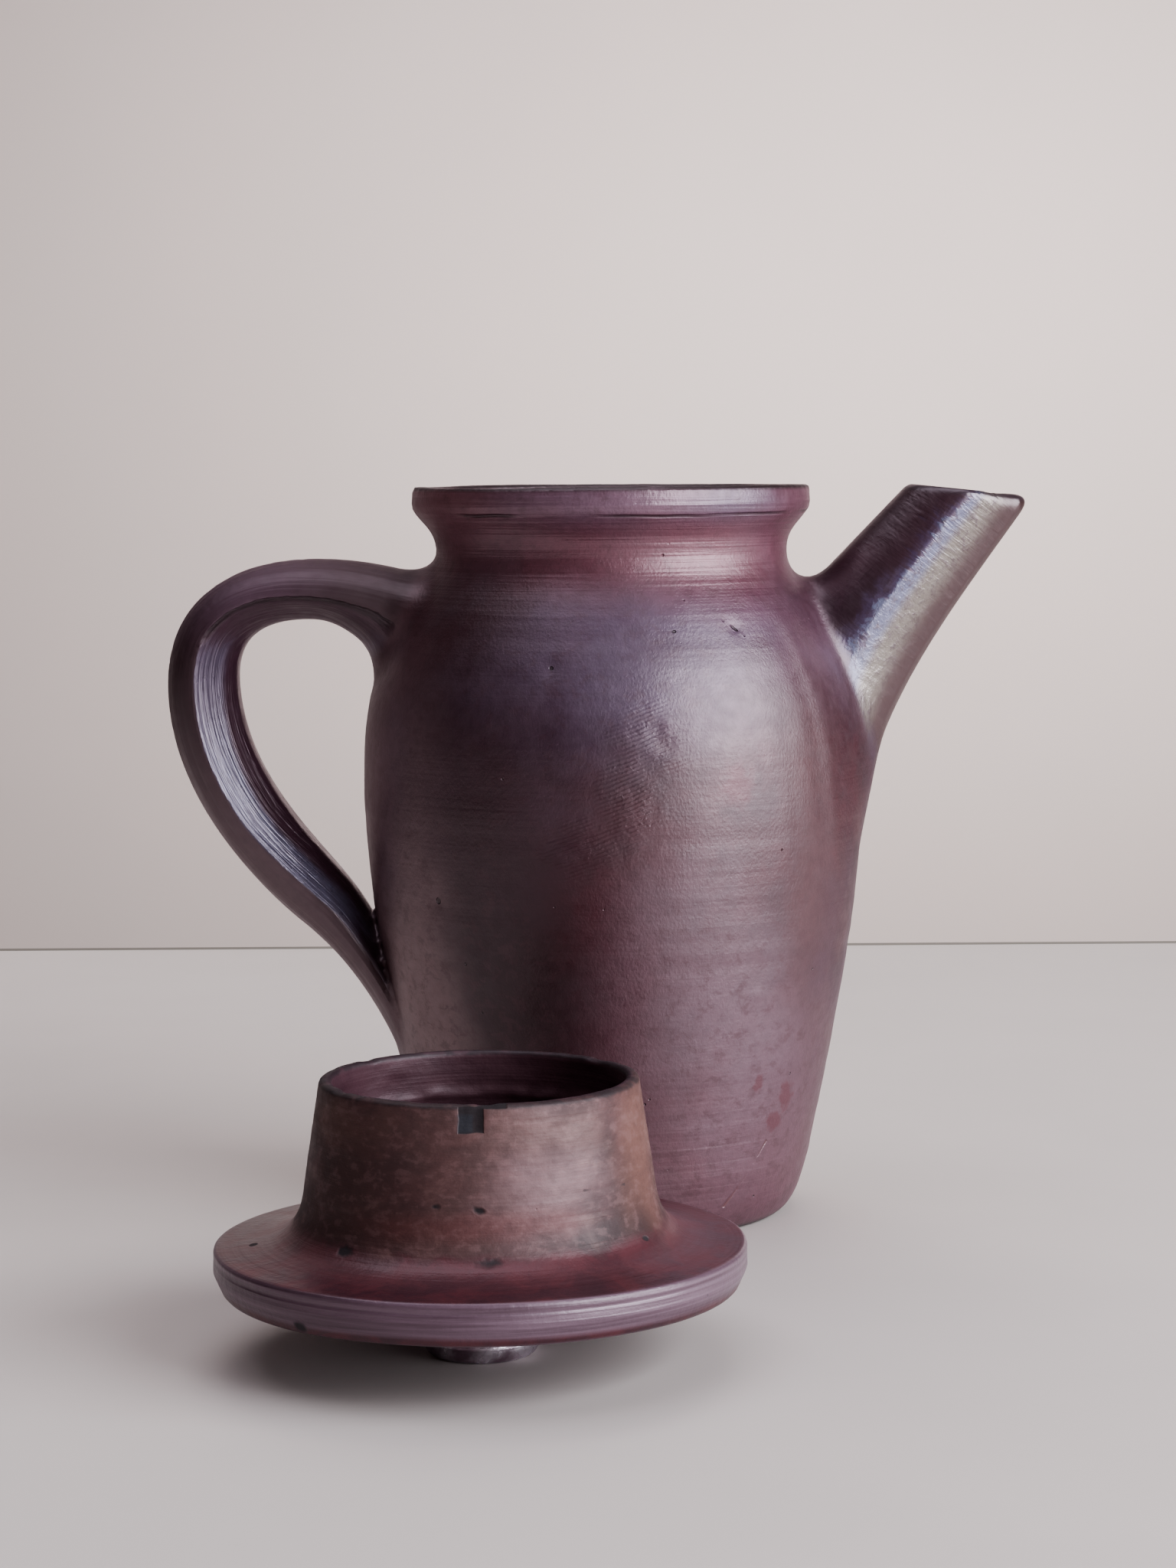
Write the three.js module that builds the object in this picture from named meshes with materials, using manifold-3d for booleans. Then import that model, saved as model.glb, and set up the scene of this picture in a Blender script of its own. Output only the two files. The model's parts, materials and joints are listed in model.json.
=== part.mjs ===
// A hand-thrown ceramic coffee pot: a belly with a flared mouth, a spout and a pulled handle luted on,
// and a lid with a deep collar that stands upside down on its knob in front of the pot.
// Millimetres, +Z up. The origin is the middle of the foot, the spout points to +X, the handle to -X.
import * as THREE from 'three';
import { mergeVertices } from 'three/addons/utils/BufferGeometryUtils.js';
import Module from 'manifold-3d';

// Sizes of the thrown pot
const potHeight = 200;
const wall = 5;
const floorThickness = 6.5;
const footFlatRadius = 44.5;
const footRadius = 53.5;
const footHeight = 16;
const bellyRadius = 68.7;
const bellyHeight = 120;
const shoulderRadius = 58.8;
const shoulderHeight = 162;
const shoulderSlope = 0.53;
const neckRadius = 47.9;
const neckHeight = 182.5;
const rimRadius = 54.6;
const rimBandHeight = 6.4;
const rimRound = 1.2;
const mouthFlare = 6.4;

// Sizes of the spout
const spoutLipReach = 112.8;
const spoutLipHeight = 193.4;
const spoutLipLength = 33.1;
const spoutLipSlope = 10;
const spoutTipWidth = 27.6;
const spoutRootWidth = 35.4;
const spoutRootTop = 163.5;
const spoutRootLow = 93;
const spoutWall = 4;
const spoutRootAngle = 87;
const spoutLipAngle = 55;

// Sizes of the handle
const fingerGap = 33.8;
const gripThickness = 20;
const gripWidth = 28;
const gripHeight = 147;
const handleTopHeight = 165.5;
const handleArch = 13;
const crestThickness = 15.6;
const rootThickness = 18.5;
const rootWidth = 36;
const rootFlare = 17;
const rootFlareShare = 0.34;
const landingHeight = 87.5;
const landingStandOff = 14;
const landingThickness = 18.6;
const tailHeight = 33;
const tailThickness = 3.6;
const tailWidth = 40;
const handleHollow = 0.13;

// Sizes of the lid, given as it stands, knob down
const lidClearance = 1.6;
const plateOverhang = 7.4;
const plateThickness = 10.8;
const plateBevel = 2.3;
const plateBevelHeight = 4.6;
const plateDish = 1.9;
const underDish = 3.2;
const collarLength = 38.6;
const collarTaper = 4.1;
const collarWall = 3.2;
const collarFillet = 8;
const knobHeight = 12.2;
const knobRadius = 14;
const knobFootRadius = 9.6;
const knobNeckRadius = 9.2;
const knobPadRadius = 12.4;

// Where the lid has been set down, measured from the pot's axis
const lidAside = -32.8;
const lidInFront = -159.1;

// The gap left at a luted joint, how far a root runs into the wall, and how finely round forms are cut
const luteGap = 0.3;
const buryDepth = 4;
const turns = 56;
const knobTurns = 36;
const tubeTurns = 24;

const wasm = await Module();
wasm.setup();

const v2 = (x, y) => new THREE.Vector2(x, y);

function bezierPoints(a, b, c, d, steps) {
  return new THREE.CubicBezierCurve(a, b, c, d).getPoints(steps);
}

// Chains runs of points into one line without repeating the points where they meet.
function chain(...runs) {
  const line = [];
  for (const point of runs.flat()) {
    const last = line[line.length - 1];
    if (!last || last.distanceTo(point) > 0.02) line.push(point);
  }
  return line;
}

// Merges a geometry's shared vertices, drops triangles of no area and turns its faces outwards.
function closeMesh(geometry) {
  const bare = geometry.index ? geometry.clone() : geometry;
  bare.deleteAttribute('normal');
  bare.deleteAttribute('uv');
  const merged = mergeVertices(bare, 1e-4);
  const place = merged.getAttribute('position');
  const corners = merged.getIndex().array;
  const kept = [];
  let volume = 0;
  const [a, b, c] = [new THREE.Vector3(), new THREE.Vector3(), new THREE.Vector3()];
  for (let i = 0; i < corners.length; i += 3) {
    const [p, q, r] = [corners[i], corners[i + 1], corners[i + 2]];
    if (p === q || q === r || r === p) continue;
    kept.push(p, q, r);
    a.fromBufferAttribute(place, p);
    b.fromBufferAttribute(place, q);
    c.fromBufferAttribute(place, r);
    volume += a.dot(b.cross(c)) / 6;
  }
  if (volume < 0) {
    for (let i = 0; i < kept.length; i += 3) [kept[i + 1], kept[i + 2]] = [kept[i + 2], kept[i + 1]];
  }
  const closed = new THREE.BufferGeometry();
  closed.setAttribute('position', place.clone());
  closed.setIndex(kept);
  return closed;
}

function toSolid(geometry) {
  const closed = closeMesh(geometry);
  const vertProperties = new Float32Array(closed.getAttribute('position').array);
  const triVerts = new Uint32Array(closed.getIndex().array);
  return new wasm.Manifold(new wasm.Mesh({ numProp: 3, vertProperties, triVerts }));
}

function toGeometry(solid) {
  const mesh = solid.getMesh();
  const geometry = new THREE.BufferGeometry();
  geometry.setAttribute('position', new THREE.BufferAttribute(new Float32Array(mesh.vertProperties), 3));
  geometry.setIndex(new THREE.BufferAttribute(new Uint32Array(mesh.triVerts), 1));
  return geometry;
}

// Turns a line of (radius, height) points about the Z axis.
function turned(line, segments = turns) {
  const lathe = new THREE.LatheGeometry(line, segments);
  lathe.rotateX(Math.PI / 2);
  return lathe;
}

// Skins a row of closed rings, each with the same number of points, and closes both ends.
function loft(rings) {
  const around = rings[0].length;
  const places = rings.flat().flatMap((p) => [p.x, p.y, p.z]);
  const faces = [];
  for (let i = 0; i < rings.length - 1; i += 1) {
    for (let j = 0; j < around; j += 1) {
      const a = i * around + j;
      const b = i * around + ((j + 1) % around);
      faces.push(a, b, b + around, a, b + around, a + around);
    }
  }
  const ends = [0, rings.length - 1];
  for (const end of ends) {
    const middle = rings[end].reduce((sum, p) => sum.add(p), new THREE.Vector3()).divideScalar(around);
    const centre = places.length / 3;
    places.push(middle.x, middle.y, middle.z);
    for (let j = 0; j < around; j += 1) {
      const a = end * around + j;
      const b = end * around + ((j + 1) % around);
      if (end === 0) faces.push(a, centre, b);
      else faces.push(a, b, centre);
    }
  }
  const geometry = new THREE.BufferGeometry();
  geometry.setAttribute('position', new THREE.Float32BufferAttribute(places, 3));
  geometry.setIndex(faces);
  return geometry;
}

// The outside of the thrown pot from the edge of its flat foot up to the rim's outer arris.
function potOutside() {
  const foot = bezierPoints(
    v2(footFlatRadius, 0), v2(footFlatRadius + 4.5, 0.2), v2(footRadius - 1.7, footHeight * 0.55),
    v2(footRadius, footHeight), 4);
  const wallRise = bellyHeight - footHeight;
  const belly = bezierPoints(
    v2(footRadius, footHeight), v2(footRadius + 0.079 * wallRise, footHeight + 0.365 * wallRise),
    v2(bellyRadius, bellyHeight - 0.31 * wallRise), v2(bellyRadius, bellyHeight), 8);
  const shoulderRise = shoulderHeight - bellyHeight;
  const shoulderHandle = shoulderRise / 3;
  const shoulder = bezierPoints(
    v2(bellyRadius, bellyHeight), v2(bellyRadius, bellyHeight + 0.48 * shoulderRise),
    v2(shoulderRadius + shoulderSlope * shoulderHandle, shoulderHeight - shoulderHandle),
    v2(shoulderRadius, shoulderHeight), 6);
  const neckRise = neckHeight - shoulderHeight;
  const neckHandle = neckRise / 2;
  const neck = bezierPoints(
    v2(shoulderRadius, shoulderHeight),
    v2(shoulderRadius - shoulderSlope * neckHandle, shoulderHeight + neckHandle),
    v2(neckRadius, neckHeight - neckRise * 0.3), v2(neckRadius, neckHeight), 6);
  const bandFoot = potHeight - rimBandHeight;
  const flareRise = bandFoot - neckHeight;
  const flare = bezierPoints(
    v2(neckRadius, neckHeight), v2(neckRadius, neckHeight + 0.45 * flareRise),
    v2(rimRadius - 3, bandFoot - 0.3 * flareRise), v2(rimRadius - 0.4, bandFoot), 5);
  const band = [v2(rimRadius, bandFoot + 1.6), v2(rimRadius - 0.2, potHeight - rimRound)];
  return chain(foot, belly, shoulder, neck, flare, band);
}

const outside = potOutside();

// The pot's outer radius at a height, read off the outside line.
function radiusAt(height) {
  const next = outside.findIndex((p, i) => i > 0 && p.y >= height);
  if (next < 0) return outside[outside.length - 1].x;
  const [low, high] = [outside[next - 1], outside[next]];
  return low.x + ((high.x - low.x) * (height - low.y)) / (high.y - low.y || 1);
}

// The inside of the thrown pot, from the mouth down to the middle of the floor.
function potInside() {
  const neckInside = neckRadius - wall;
  const mouthRadius = neckInside + mouthFlare;
  const mouthRise = potHeight - neckHeight;
  const mouth = bezierPoints(
    v2(mouthRadius, potHeight - rimRound), v2(mouthRadius, potHeight - 0.3 * mouthRise),
    v2(neckInside, neckHeight + 0.4 * mouthRise), v2(neckInside, neckHeight), 5);
  const cavityFloor = footHeight + 4;
  const cavity = outside
    .filter((p, i) => i % 2 === 0 && p.y > cavityFloor && p.y < neckHeight - 2)
    .map((p) => v2(p.x - wall, p.y))
    .reverse();
  const turn = v2(radiusAt(cavityFloor) - wall, cavityFloor);
  const bowl = bezierPoints(
    turn, v2(turn.x - 1.6, floorThickness + 5), v2(turn.x - 5, floorThickness), v2(turn.x - 13, floorThickness), 4);
  return chain(mouth, cavity, bowl, [v2(0, floorThickness)]);
}

// The rim's flat top ring, with both its arrises rounded.
function rimTop() {
  const outerRound = bezierPoints(
    v2(rimRadius - 0.2, potHeight - rimRound), v2(rimRadius - 0.3, potHeight - 0.3),
    v2(rimRadius - 0.7, potHeight), v2(rimRadius - 0.2 - rimRound, potHeight), 3);
  const mouthRadius = neckRadius - wall + mouthFlare;
  const innerRound = bezierPoints(
    v2(mouthRadius + rimRound, potHeight), v2(mouthRadius + 0.4, potHeight),
    v2(mouthRadius, potHeight - 0.4), v2(mouthRadius, potHeight - rimRound), 3);
  return chain(outerRound, innerRound);
}

const potLine = chain([v2(0, 0)], outside, rimTop(), potInside());

// The pot's outside as a plain solid, grown by the lute gap. It trims what is stuck onto the wall.
function trimForm() {
  const grown = outside.map((p) => v2(p.x + luteGap, p.y));
  const line = chain([v2(0, -luteGap), v2(footFlatRadius + luteGap, -luteGap)], grown.slice(1), [v2(0, potHeight)]);
  return toSolid(turned(line));
}

// The spout's upper and lower edges lie in the plane through the pot's axis. Both start inside the wall.
const lipTurn = THREE.MathUtils.degToRad(spoutLipSlope);
const lipLow = v2(spoutLipReach, spoutLipHeight);
const lipHigh = v2(
  spoutLipReach - spoutLipLength * Math.cos(lipTurn), spoutLipHeight + spoutLipLength * Math.sin(lipTurn));
const rootHigh = v2(radiusAt(spoutRootTop) - 3 * buryDepth, spoutRootTop);
const rootLow = v2(radiusAt(spoutRootLow) - buryDepth / 4, spoutRootLow);
const lowSpan = rootLow.distanceTo(lipLow);
const along = (degrees, length) => {
  const turn = THREE.MathUtils.degToRad(degrees);
  return v2(Math.cos(turn) * length, Math.sin(turn) * length);
};
const upperEdge = new THREE.LineCurve(rootHigh, lipHigh);
const lowerEdge = new THREE.CubicBezierCurve(
  rootLow, rootLow.clone().add(along(spoutRootAngle, 0.38 * lowSpan)),
  lipLow.clone().sub(along(spoutLipAngle, 0.352 * lowSpan)), lipLow);

// One oval ring of the spout, spanning its two edges at the share t of the way up.
function spoutRing(t) {
  const high = upperEdge.getPoint(t);
  const low = lowerEdge.getPoint(t);
  const middle = high.clone().add(low).multiplyScalar(0.5);
  const half = high.clone().sub(low).multiplyScalar(0.5);
  const side = THREE.MathUtils.lerp(spoutRootWidth, spoutTipWidth, t ** 0.8) / 2;
  const ring = [];
  for (let j = 0; j < tubeTurns; j += 1) {
    const turn = (j / tubeTurns) * 2 * Math.PI;
    const x = middle.x + half.x * Math.cos(turn);
    const z = middle.y + half.y * Math.cos(turn);
    ring.push(new THREE.Vector3(x, side * Math.sin(turn), z));
  }
  return ring;
}

// The pouring bore: a tapered round hole down the spout's axis that breaks through the pot's wall.
function spoutBore() {
  const tip = lipHigh.clone().add(lipLow).multiplyScalar(0.5);
  const neckShare = 0.5;
  const heart = upperEdge.getPoint(neckShare).add(lowerEdge.getPoint(neckShare)).multiplyScalar(0.5);
  const axis = tip.clone().sub(heart).normalize();
  const overshoot = 0.6 * spoutLipLength;
  const span = 2.6 * tip.distanceTo(heart);
  const tipRadius = spoutTipWidth / 2 - spoutWall;
  const rootRadius = spoutRootWidth / 2 - spoutWall;
  const taper = (rootRadius - tipRadius) / span;
  const rings = [];
  for (const travel of [overshoot, 0, -span / 2, -span]) {
    const radius = tipRadius - taper * travel;
    const centre = tip.clone().add(axis.clone().multiplyScalar(travel));
    const ring = [];
    for (let j = 0; j < tubeTurns; j += 1) {
      const turn = (j / tubeTurns) * 2 * Math.PI;
      const across = radius * Math.cos(turn);
      ring.push(new THREE.Vector3(centre.x - axis.y * across, radius * Math.sin(turn), centre.y + axis.x * across));
    }
    rings.push(ring);
  }
  return toSolid(loft(rings));
}

// The handle's middle line: out over the crest, down the grip, in along the slope and down the wall.
const gripReach = bellyRadius + fingerGap + gripThickness / 2;
const handleRoot = v2(-(radiusAt(handleTopHeight) - 2 * buryDepth), handleTopHeight);
const gripMiddle = v2(-gripReach, gripHeight);
const landing = v2(-(radiusAt(landingHeight) + landingStandOff), landingHeight);
const tail = v2(-(radiusAt(tailHeight) - 0.6 * tailThickness), tailHeight);
const slopeStep = v2(1, -1).normalize();
const handleLine = new THREE.CurvePath();
handleLine.add(new THREE.CubicBezierCurve(
  handleRoot, v2(THREE.MathUtils.lerp(handleRoot.x, gripMiddle.x, 0.56), handleTopHeight + handleArch),
  v2(gripMiddle.x, handleTopHeight + 0.62 * handleArch), gripMiddle));
handleLine.add(new THREE.CubicBezierCurve(
  gripMiddle, v2(gripMiddle.x, THREE.MathUtils.lerp(gripHeight, landingHeight, 0.44)),
  landing.clone().sub(slopeStep.clone().multiplyScalar(0.27 * gripMiddle.distanceTo(landing))), landing));
handleLine.add(new THREE.CubicBezierCurve(
  landing, landing.clone().add(slopeStep.clone().multiplyScalar(0.27 * landing.distanceTo(tail))),
  v2(THREE.MathUtils.lerp(tail.x, landing.x, 0.04), THREE.MathUtils.lerp(tailHeight, landingHeight, 0.35)), tail));

// Thickness and width along the three runs of the handle. Each run eases from one size to the next.
const handleSizes = [
  [rootThickness, rootWidth], [crestThickness, 0.5 * (rootWidth + gripWidth)], [gripThickness, gripWidth],
  [gripThickness, gripWidth], [landingThickness, 1.07 * gripWidth],
  [0.5 * (0.9 * landingThickness + tailThickness), 0.5 * (gripWidth + tailWidth)], [tailThickness, tailWidth],
];

function handleSizeAt(t) {
  const place = t * (handleSizes.length - 1);
  const low = Math.min(Math.floor(place), handleSizes.length - 2);
  const share = place - low;
  return handleSizes[low].map((size, k) => THREE.MathUtils.lerp(size, handleSizes[low + 1][k], share));
}

// The handle's section is round outside and slightly hollowed on both flanks of its inner half. At the
// top root its underside swells down onto the wall, and along the tail it wraps round the wall.
function handleRing(t) {
  const run = Math.min(Math.floor(t * 3), 2);
  const curve = handleLine.curves[run];
  const share = t * 3 - run;
  const middle = curve.getPoint(share);
  const forward = curve.getTangent(share);
  const outward = v2(forward.y, -forward.x);
  const [thickness, width] = handleSizeAt(t);
  const flare = run === 0 ? rootFlare * Math.max(0, 1 - share / rootFlareShare) ** 2 : 0;
  const wrap = run === 2 ? share : 0;
  const reach = Math.abs(middle.x);
  const ring = [];
  for (let j = 0; j < tubeTurns; j += 1) {
    const turn = (j / tubeTurns) * 2 * Math.PI;
    const flank = Math.max(0, -Math.cos(turn)) * Math.abs(Math.sin(turn)) * 2;
    const size = 1 - handleHollow * flank;
    const under = flare * Math.max(0, -Math.cos(turn));
    const out = (thickness / 2) * Math.cos(turn) * size - under;
    const side = (width / 2) * Math.sin(turn) * size;
    const wrapped = wrap * (reach - Math.sqrt(Math.max(0, reach ** 2 - side ** 2)));
    ring.push(new THREE.Vector3(middle.x + outward.x * out + wrapped, side, middle.y + outward.y * out));
  }
  return ring;
}

// The lid's line as it stands, knob down: underside, bevelled edge, plate face, fillet, collar and cup.
const plateRadius = rimRadius + plateOverhang;
const collarRadius = neckRadius - wall - lidClearance;
const plateFace = knobHeight + luteGap + underDish + plateThickness;

function lidLine() {
  const underside = knobHeight + luteGap;
  const edgeFoot = plateFace - plateThickness;
  const under = bezierPoints(
    v2(knobPadRadius, underside), v2(plateRadius * 0.5, underside + 0.2), v2(plateRadius * 0.75, edgeFoot - 1.6),
    v2(plateRadius - plateBevel - 3, edgeFoot), 5);
  const edge = [
    v2(plateRadius - plateBevel, edgeFoot + 0.9), v2(plateRadius - 0.4, edgeFoot + plateBevelHeight),
    v2(plateRadius, edgeFoot + plateBevelHeight + 1.2), v2(plateRadius, plateFace - 0.7),
    v2(plateRadius - 0.8, plateFace),
  ];
  const filletFoot = collarRadius + collarFillet * 0.8;
  const fillet = bezierPoints(
    v2(filletFoot, plateFace + plateDish), v2(collarRadius + 2.4, plateFace + plateDish + 0.8),
    v2(collarRadius + 0.2, plateFace + plateDish + 3), v2(collarRadius, plateFace + plateDish + collarFillet), 5);
  const lip = plateFace + collarLength;
  const lipRadius = collarRadius - collarTaper;
  const collarLip = [
    v2(lipRadius, lip - 1), v2(lipRadius - 0.5, lip - 0.2), v2(lipRadius - 1.2, lip),
    v2(lipRadius - collarWall + 0.7, lip), v2(lipRadius - collarWall, lip - 0.8),
  ];
  const cupFloor = edgeFoot + plateThickness * 0.3;
  const cupRadius = collarRadius - collarWall - 0.8;
  const cup = bezierPoints(
    v2(cupRadius, cupFloor + 9), v2(cupRadius, cupFloor + 3), v2(cupRadius - 3, cupFloor),
    v2(cupRadius - 10, cupFloor), 4);
  return chain([v2(0, underside)], under, edge, fillet, collarLip, cup, [v2(0, cupFloor)]);
}

// The knob's line as it stands: flat end on the table, round head, waist and the pad luted to the lid.
function knobLine() {
  const head = bezierPoints(
    v2(knobFootRadius, 0), v2(knobRadius - 0.8, 0.1), v2(knobRadius + 0.6, knobHeight * 0.32),
    v2(knobRadius - 0.9, knobHeight * 0.5), 5);
  const waist = bezierPoints(
    v2(knobRadius - 0.9, knobHeight * 0.5), v2(knobRadius - 2.2, knobHeight * 0.68),
    v2(knobNeckRadius, knobHeight * 0.62), v2(knobNeckRadius, knobHeight * 0.82), 4);
  const pad = [v2(knobNeckRadius + 1, knobHeight * 0.94), v2(knobPadRadius - 0.6, knobHeight)];
  return chain([v2(0, 0)], head, waist, pad, [v2(0, knobHeight)]);
}

const trim = trimForm();
const bore = spoutBore();
const spoutSteps = 16;
const handleSteps = 36;
const spoutRings = Array.from({ length: spoutSteps + 1 }, (_, i) => spoutRing(i / spoutSteps));
const handleRings = Array.from({ length: handleSteps + 1 }, (_, i) => handleRing(i / handleSteps));

const shapes = {
  pot_body: toGeometry(toSolid(turned(potLine)).subtract(bore)),
  spout: toGeometry(toSolid(loft(spoutRings)).subtract(bore).subtract(trim)),
  handle: toGeometry(toSolid(loft(handleRings)).subtract(trim)),
  lid: closeMesh(turned(lidLine())),
  lid_knob: closeMesh(turned(knobLine(), knobTurns)),
};

const finishes = {
  pot_body: { color: 0x4b3138, roughness: 0.42, metalness: 0.15 },
  spout: { color: 0x463039, roughness: 0.36, metalness: 0.15 },
  handle: { color: 0x3f2a31, roughness: 0.38, metalness: 0.15 },
  lid: { color: 0x6b4038, roughness: 0.62, metalness: 0.05 },
  lid_knob: { color: 0x3a2529, roughness: 0.35, metalness: 0.15 },
};

function piece(name) {
  const mesh = new THREE.Mesh(shapes[name], new THREE.MeshStandardMaterial(finishes[name]));
  mesh.name = name;
  return mesh;
}

const pot = new THREE.Group();
pot.add(piece('pot_body'), piece('spout'), piece('handle'));

const lidSet = new THREE.Group();
lidSet.add(piece('lid'), piece('lid_knob'));
lidSet.position.set(lidAside, lidInFront, 0);

const coffeePot = new THREE.Group();
coffeePot.add(pot, lidSet);

export default coffeePot;
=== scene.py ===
# %% [markdown]
# A hand-thrown ceramic coffee pot and its lid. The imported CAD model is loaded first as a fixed
# frame: it holds the true sizes and the bodies that move. Everything made below is fitted to it,
# in metres, with the spout towards +X, the handle towards -X and +Z up.

# %% Load the fixed frame
import json
import math
from itertools import product

import bmesh
import bpy
import numpy as np
from mathutils import Matrix, Vector

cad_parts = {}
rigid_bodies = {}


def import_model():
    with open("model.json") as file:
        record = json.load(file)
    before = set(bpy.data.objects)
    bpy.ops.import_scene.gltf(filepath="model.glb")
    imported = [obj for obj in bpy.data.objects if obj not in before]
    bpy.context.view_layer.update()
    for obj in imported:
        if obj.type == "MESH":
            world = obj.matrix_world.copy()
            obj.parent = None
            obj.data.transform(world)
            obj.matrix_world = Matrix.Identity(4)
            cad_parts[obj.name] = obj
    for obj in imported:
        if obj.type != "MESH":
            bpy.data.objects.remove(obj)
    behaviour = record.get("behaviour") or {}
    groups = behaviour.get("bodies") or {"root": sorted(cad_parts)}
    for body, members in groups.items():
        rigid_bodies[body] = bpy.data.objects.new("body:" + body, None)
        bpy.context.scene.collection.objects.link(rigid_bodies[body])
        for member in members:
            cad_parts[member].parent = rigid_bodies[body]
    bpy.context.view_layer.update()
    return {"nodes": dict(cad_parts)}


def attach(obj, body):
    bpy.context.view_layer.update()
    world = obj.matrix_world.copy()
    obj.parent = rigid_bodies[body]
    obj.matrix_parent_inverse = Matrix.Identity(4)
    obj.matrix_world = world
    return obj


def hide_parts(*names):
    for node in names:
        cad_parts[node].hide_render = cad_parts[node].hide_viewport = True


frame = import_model()

# %% [markdown]
# The camera comes next, because it settles what has to look right. Its place and lens were worked
# out from the pot's foot, its rim and the lid's circles. A long lens, nearly level and turned by
# half a degree, keeps the rim almost a straight line, as in the photograph.

# %% Camera
def add_object(name, data):
    made = bpy.data.objects.new(name, data)
    bpy.context.scene.collection.objects.link(made)
    return made


def photograph_camera(place, pitch, roll, lens):
    down, tilt = math.radians(pitch), math.radians(roll)
    right = Vector((1, 0, 0))
    forward = Vector((0, math.cos(down), -math.sin(down)))
    up = Vector((0, math.sin(down), math.cos(down)))
    across = right * math.cos(tilt) + up * math.sin(tilt)
    upward = up * math.cos(tilt) - right * math.sin(tilt)
    data = bpy.data.cameras.new("photograph_camera")
    data.sensor_width = 36
    data.lens = lens
    camera = add_object("photograph_camera", data)
    turn = Matrix((across, upward, -forward)).transposed().to_4x4()
    camera.matrix_world = Matrix.Translation(place) @ turn
    bpy.context.scene.camera = camera
    return camera


camera = photograph_camera(Vector((-0.006955, -0.94796, 0.20724)), pitch=5.3846, roll=-0.48204, lens=79.10)
print("camera", [round(c, 3) for c in camera.location], "lens", camera.data.lens)

# %% [markdown]
# A pot like this is one piece of fired clay: the spout and the handle were stuck on wet and
# smeared into the wall. A skin that flows from one to the other is hard to get from separate
# meshes. So the clay is described as a distance field: for any point in space, how far it is from
# the clay, negative inside. Distances of single forms melt together with a soft minimum, whose
# reach is the size of the potter's fillet. All of this works in millimetres.

# %% Curves and flat tables
def bezier(a, b, c, d, steps):
    t = np.linspace(0, 1, steps + 1)[:, None]
    a, b, c, d = (np.array(p, float) for p in (a, b, c, d))
    return (1 - t) ** 3 * a + 3 * (1 - t) ** 2 * t * b + 3 * (1 - t) * t * t * c + t ** 3 * d


def chain(*runs):
    line = np.concatenate([np.atleast_2d(np.array(run, float)) for run in runs])
    keep = np.r_[True, np.hypot(*np.diff(line, axis=0).T) > 1e-3]
    return line[keep]


def outline_distance(points, line):
    """Distance from flat points to a closed outline, negative inside it."""
    nearest = np.full(len(points), 1e9)
    inside = np.zeros(len(points), bool)
    for a, b in zip(line, np.roll(line, -1, axis=0)):
        edge = b - a
        if edge @ edge < 1e-9:
            continue
        share = np.clip(((points - a) @ edge) / (edge @ edge), 0, 1)
        gap = points - a - share[:, None] * edge
        nearest = np.minimum(nearest, gap[:, 0] ** 2 + gap[:, 1] ** 2)
        spans = (a[1] > points[:, 1]) != (b[1] > points[:, 1])
        if spans.any():
            meets = a[0] + (points[:, 1] - a[1]) * edge[0] / (edge[1] or 1)
            inside ^= spans & (points[:, 0] < meets)
    return np.where(inside, -1, 1) * np.sqrt(nearest)


class FlatTable:
    """Values worked out once on a flat grid and read back in between."""

    def __init__(self, low, high, step):
        self.low, self.step = low, step
        self.shape = tuple(int(round((h - l) / step)) + 1 for l, h in zip(low, high))
        u, v = (l + step * np.arange(n) for l, n in zip(low, self.shape))
        self.points = np.stack(np.meshgrid(u, v, indexing="ij"), -1).reshape(-1, 2)
        self.layers = {}

    def keep(self, **layers):
        for name, values in layers.items():
            self.layers[name] = values.reshape(self.shape)

    def read(self, u, v, *names):
        a = np.clip((u - self.low[0]) / self.step, 0, self.shape[0] - 1.001)
        b = np.clip((v - self.low[1]) / self.step, 0, self.shape[1] - 1.001)
        i, j = a.astype(np.int32), b.astype(np.int32)
        a, b = a - i, b - j
        found = []
        for name in names:
            g = self.layers[name]
            found.append((g[i, j] * (1 - b) + g[i, j + 1] * b) * (1 - a)
                         + (g[i + 1, j] * (1 - b) + g[i + 1, j + 1] * b) * a)
        return found[0] if len(found) == 1 else found


def melt(a, b, reach):
    """The union of two distances, with a fillet about as wide as reach."""
    mix = np.clip(0.5 + 0.5 * (b - a) / reach, 0, 1)
    return b + (a - b) * mix - reach * mix * (1 - mix)


def ease(low, high, value):
    t = np.clip((value - low) / (high - low), 0, 1)
    return t * t * (3 - 2 * t)


# %% [markdown]
# The thrown body is a form of revolution. Its wall is drawn as a line of (radius, height) points,
# once for the outside and once for the inside, with the same sizes as the CAD model. The distance
# to each closed outline goes into a table, so that a lookup replaces a search.

# %% The thrown body
belly_radius, neck_height, height = 68.7, 182.5, 200
wall, floor = 5, 6.5
foot_side, belly, shoulder, neck = (53.5, 16), (belly_radius, 120), (58.8, 162), (47.9, neck_height)
band, mouth = (54.4, 198.8), (49.3, 198.8)
pot_outside = chain(
    bezier((44.5, 0), (49, 0.2), (51.8, 8.8), foot_side, 10),
    bezier(foot_side, (61.716, 53.96), (belly_radius, 87.76), belly, 24),
    bezier(belly, (belly_radius, 140.16), (66.22, 148), shoulder, 18),
    bezier(shoulder, (53.3675, 172.25), (47.9, 176.35), neck, 14),
    bezier(neck, (47.9, 187.495), (51.6, 190.27), (54.2, 193.6), 12),
    [(54.6, 195.2), band])
rim_rounds = chain(
    bezier(band, (54.3, 199.7), (53.9, height), (53.2, height), 5),
    bezier((50.5, height), (49.7, height), (49.3, 199.6), mouth, 5))


def radius_at(height):
    return float(np.interp(height, pot_outside[:, 1], pot_outside[:, 0]))


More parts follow.
